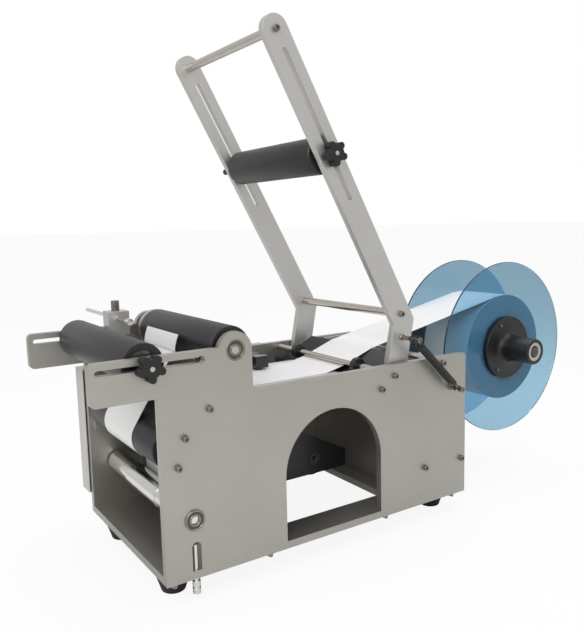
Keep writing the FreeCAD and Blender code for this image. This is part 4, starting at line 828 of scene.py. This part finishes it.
# Label web: white die-cut labels on glassine backing, running from the roll over the guides and the
# table to the peel edge, where the first label stands off. The stripped backing runs on down.
web_paper = finish("web_paper", (0.74, 0.73, 0.74), rough=0.5, tone=0.01, bump=0.02)
backing_paper = finish("backing_paper", (0.7, 0.7, 0.69), rough=0.35, tone=0.03, bump=0.02)
broken_edges("label_web", web_paper, 0.05, steps=1)
broken_edges("liner_web", backing_paper, 0.05, steps=1)

# Motors: two geared motors behind a black steel plate that stands on the base. Each drives an
# aluminium pulley, and rubber belts run from there to the shafts.
motor_paint = finish("motor_paint", (0.03, 0.03, 0.032), metal=0.2, rough=0.45, tone=0.2)
broken_edges("motor_bracket", black_sheet, 0.5)
broken_edges("gear_motors", motor_paint, 0.8)
pulley_aluminium = finish("pulley_aluminium", (0.5, 0.49, 0.47), metal=1.0, rough=0.35, tone=0.05)
broken_edges("drive_motor_pulley", pulley_aluminium, 0.4)
broken_edges("feed_motor_pulley", pulley_aluminium, 0.4)
belt_rubber = finish("belt_rubber", (0.012, 0.012, 0.012), rough=0.6, tone=0.3, bump=0.2, grain=700)
broken_edges("timing_belts", belt_rubber, 0.2, steps=1)

# Drive cover: a shallow box of painted sheet over the feed belt, on the far side plate. The
# control panel with its button and rocker sits on its face, and the sockets are beside it.
cover_paint = finish("cover_paint", (0.5, 0.495, 0.47), metal=0.3, rough=0.45, tone=0.03)
broken_edges("drive_cover", cover_paint, 0.8)
panel_paint = finish("panel_paint", (0.03, 0.03, 0.033), rough=0.4, tone=0.15)
broken_edges("control_panel", panel_paint, 0.8)
button_green = finish("button_green", (0.02, 0.22, 0.05), rough=0.3, tone=0.1, coat=0.3)
broken_edges("start_button", button_green, 0.8, steps=3)
rocker_black = finish("rocker_black", (0.012, 0.012, 0.012), rough=0.3, tone=0.15, coat=0.2)
broken_edges("power_switch", rocker_black, 0.6)
socket_plastic = finish("socket_plastic", (0.015, 0.015, 0.016), rough=0.45, tone=0.2)
broken_edges("cable_sockets", socket_plastic, 0.6)

# Bottle stop: an aluminium block over the edge of the far wing, with a polished rod through it.
# A steel thumbscrew clamps the rod from above.
broken_edges("stop_block", arm_aluminium, 0.6)
broken_edges("stop_rod", spool_bar, 0.5)
broken_edges("stop_thumbscrew", plated_steel, 0.4)

# Label sensor: a glossy black moulded head on the table with a notch in its top. It reaches over
# the edge of the web and sees the gaps between the labels.
sensor_black = finish("sensor_black", (0.011, 0.011, 0.012), rough=0.25, tone=0.2, coat=0.3)
broken_edges("label_sensor", sensor_black, 0.8)

# Release plunger: a sprung pin of polished steel in the notch of the near plate. Its grooved knob
# is below the base.
broken_edges("release_plunger", spool_bar, 0.3)

# Web collars: black moulded rings on the guide rod that keep the web from wandering. They slide
# along the rod to suit the width of the labels.
collar_black = finish("collar_black", (0.011, 0.011, 0.012), rough=0.35, tone=0.2)
broken_edges("near_web_collar", collar_black, 0.8, steps=3)
broken_edges("far_web_collar", collar_black, 0.8, steps=3)

bpy.data.objects.remove(head)
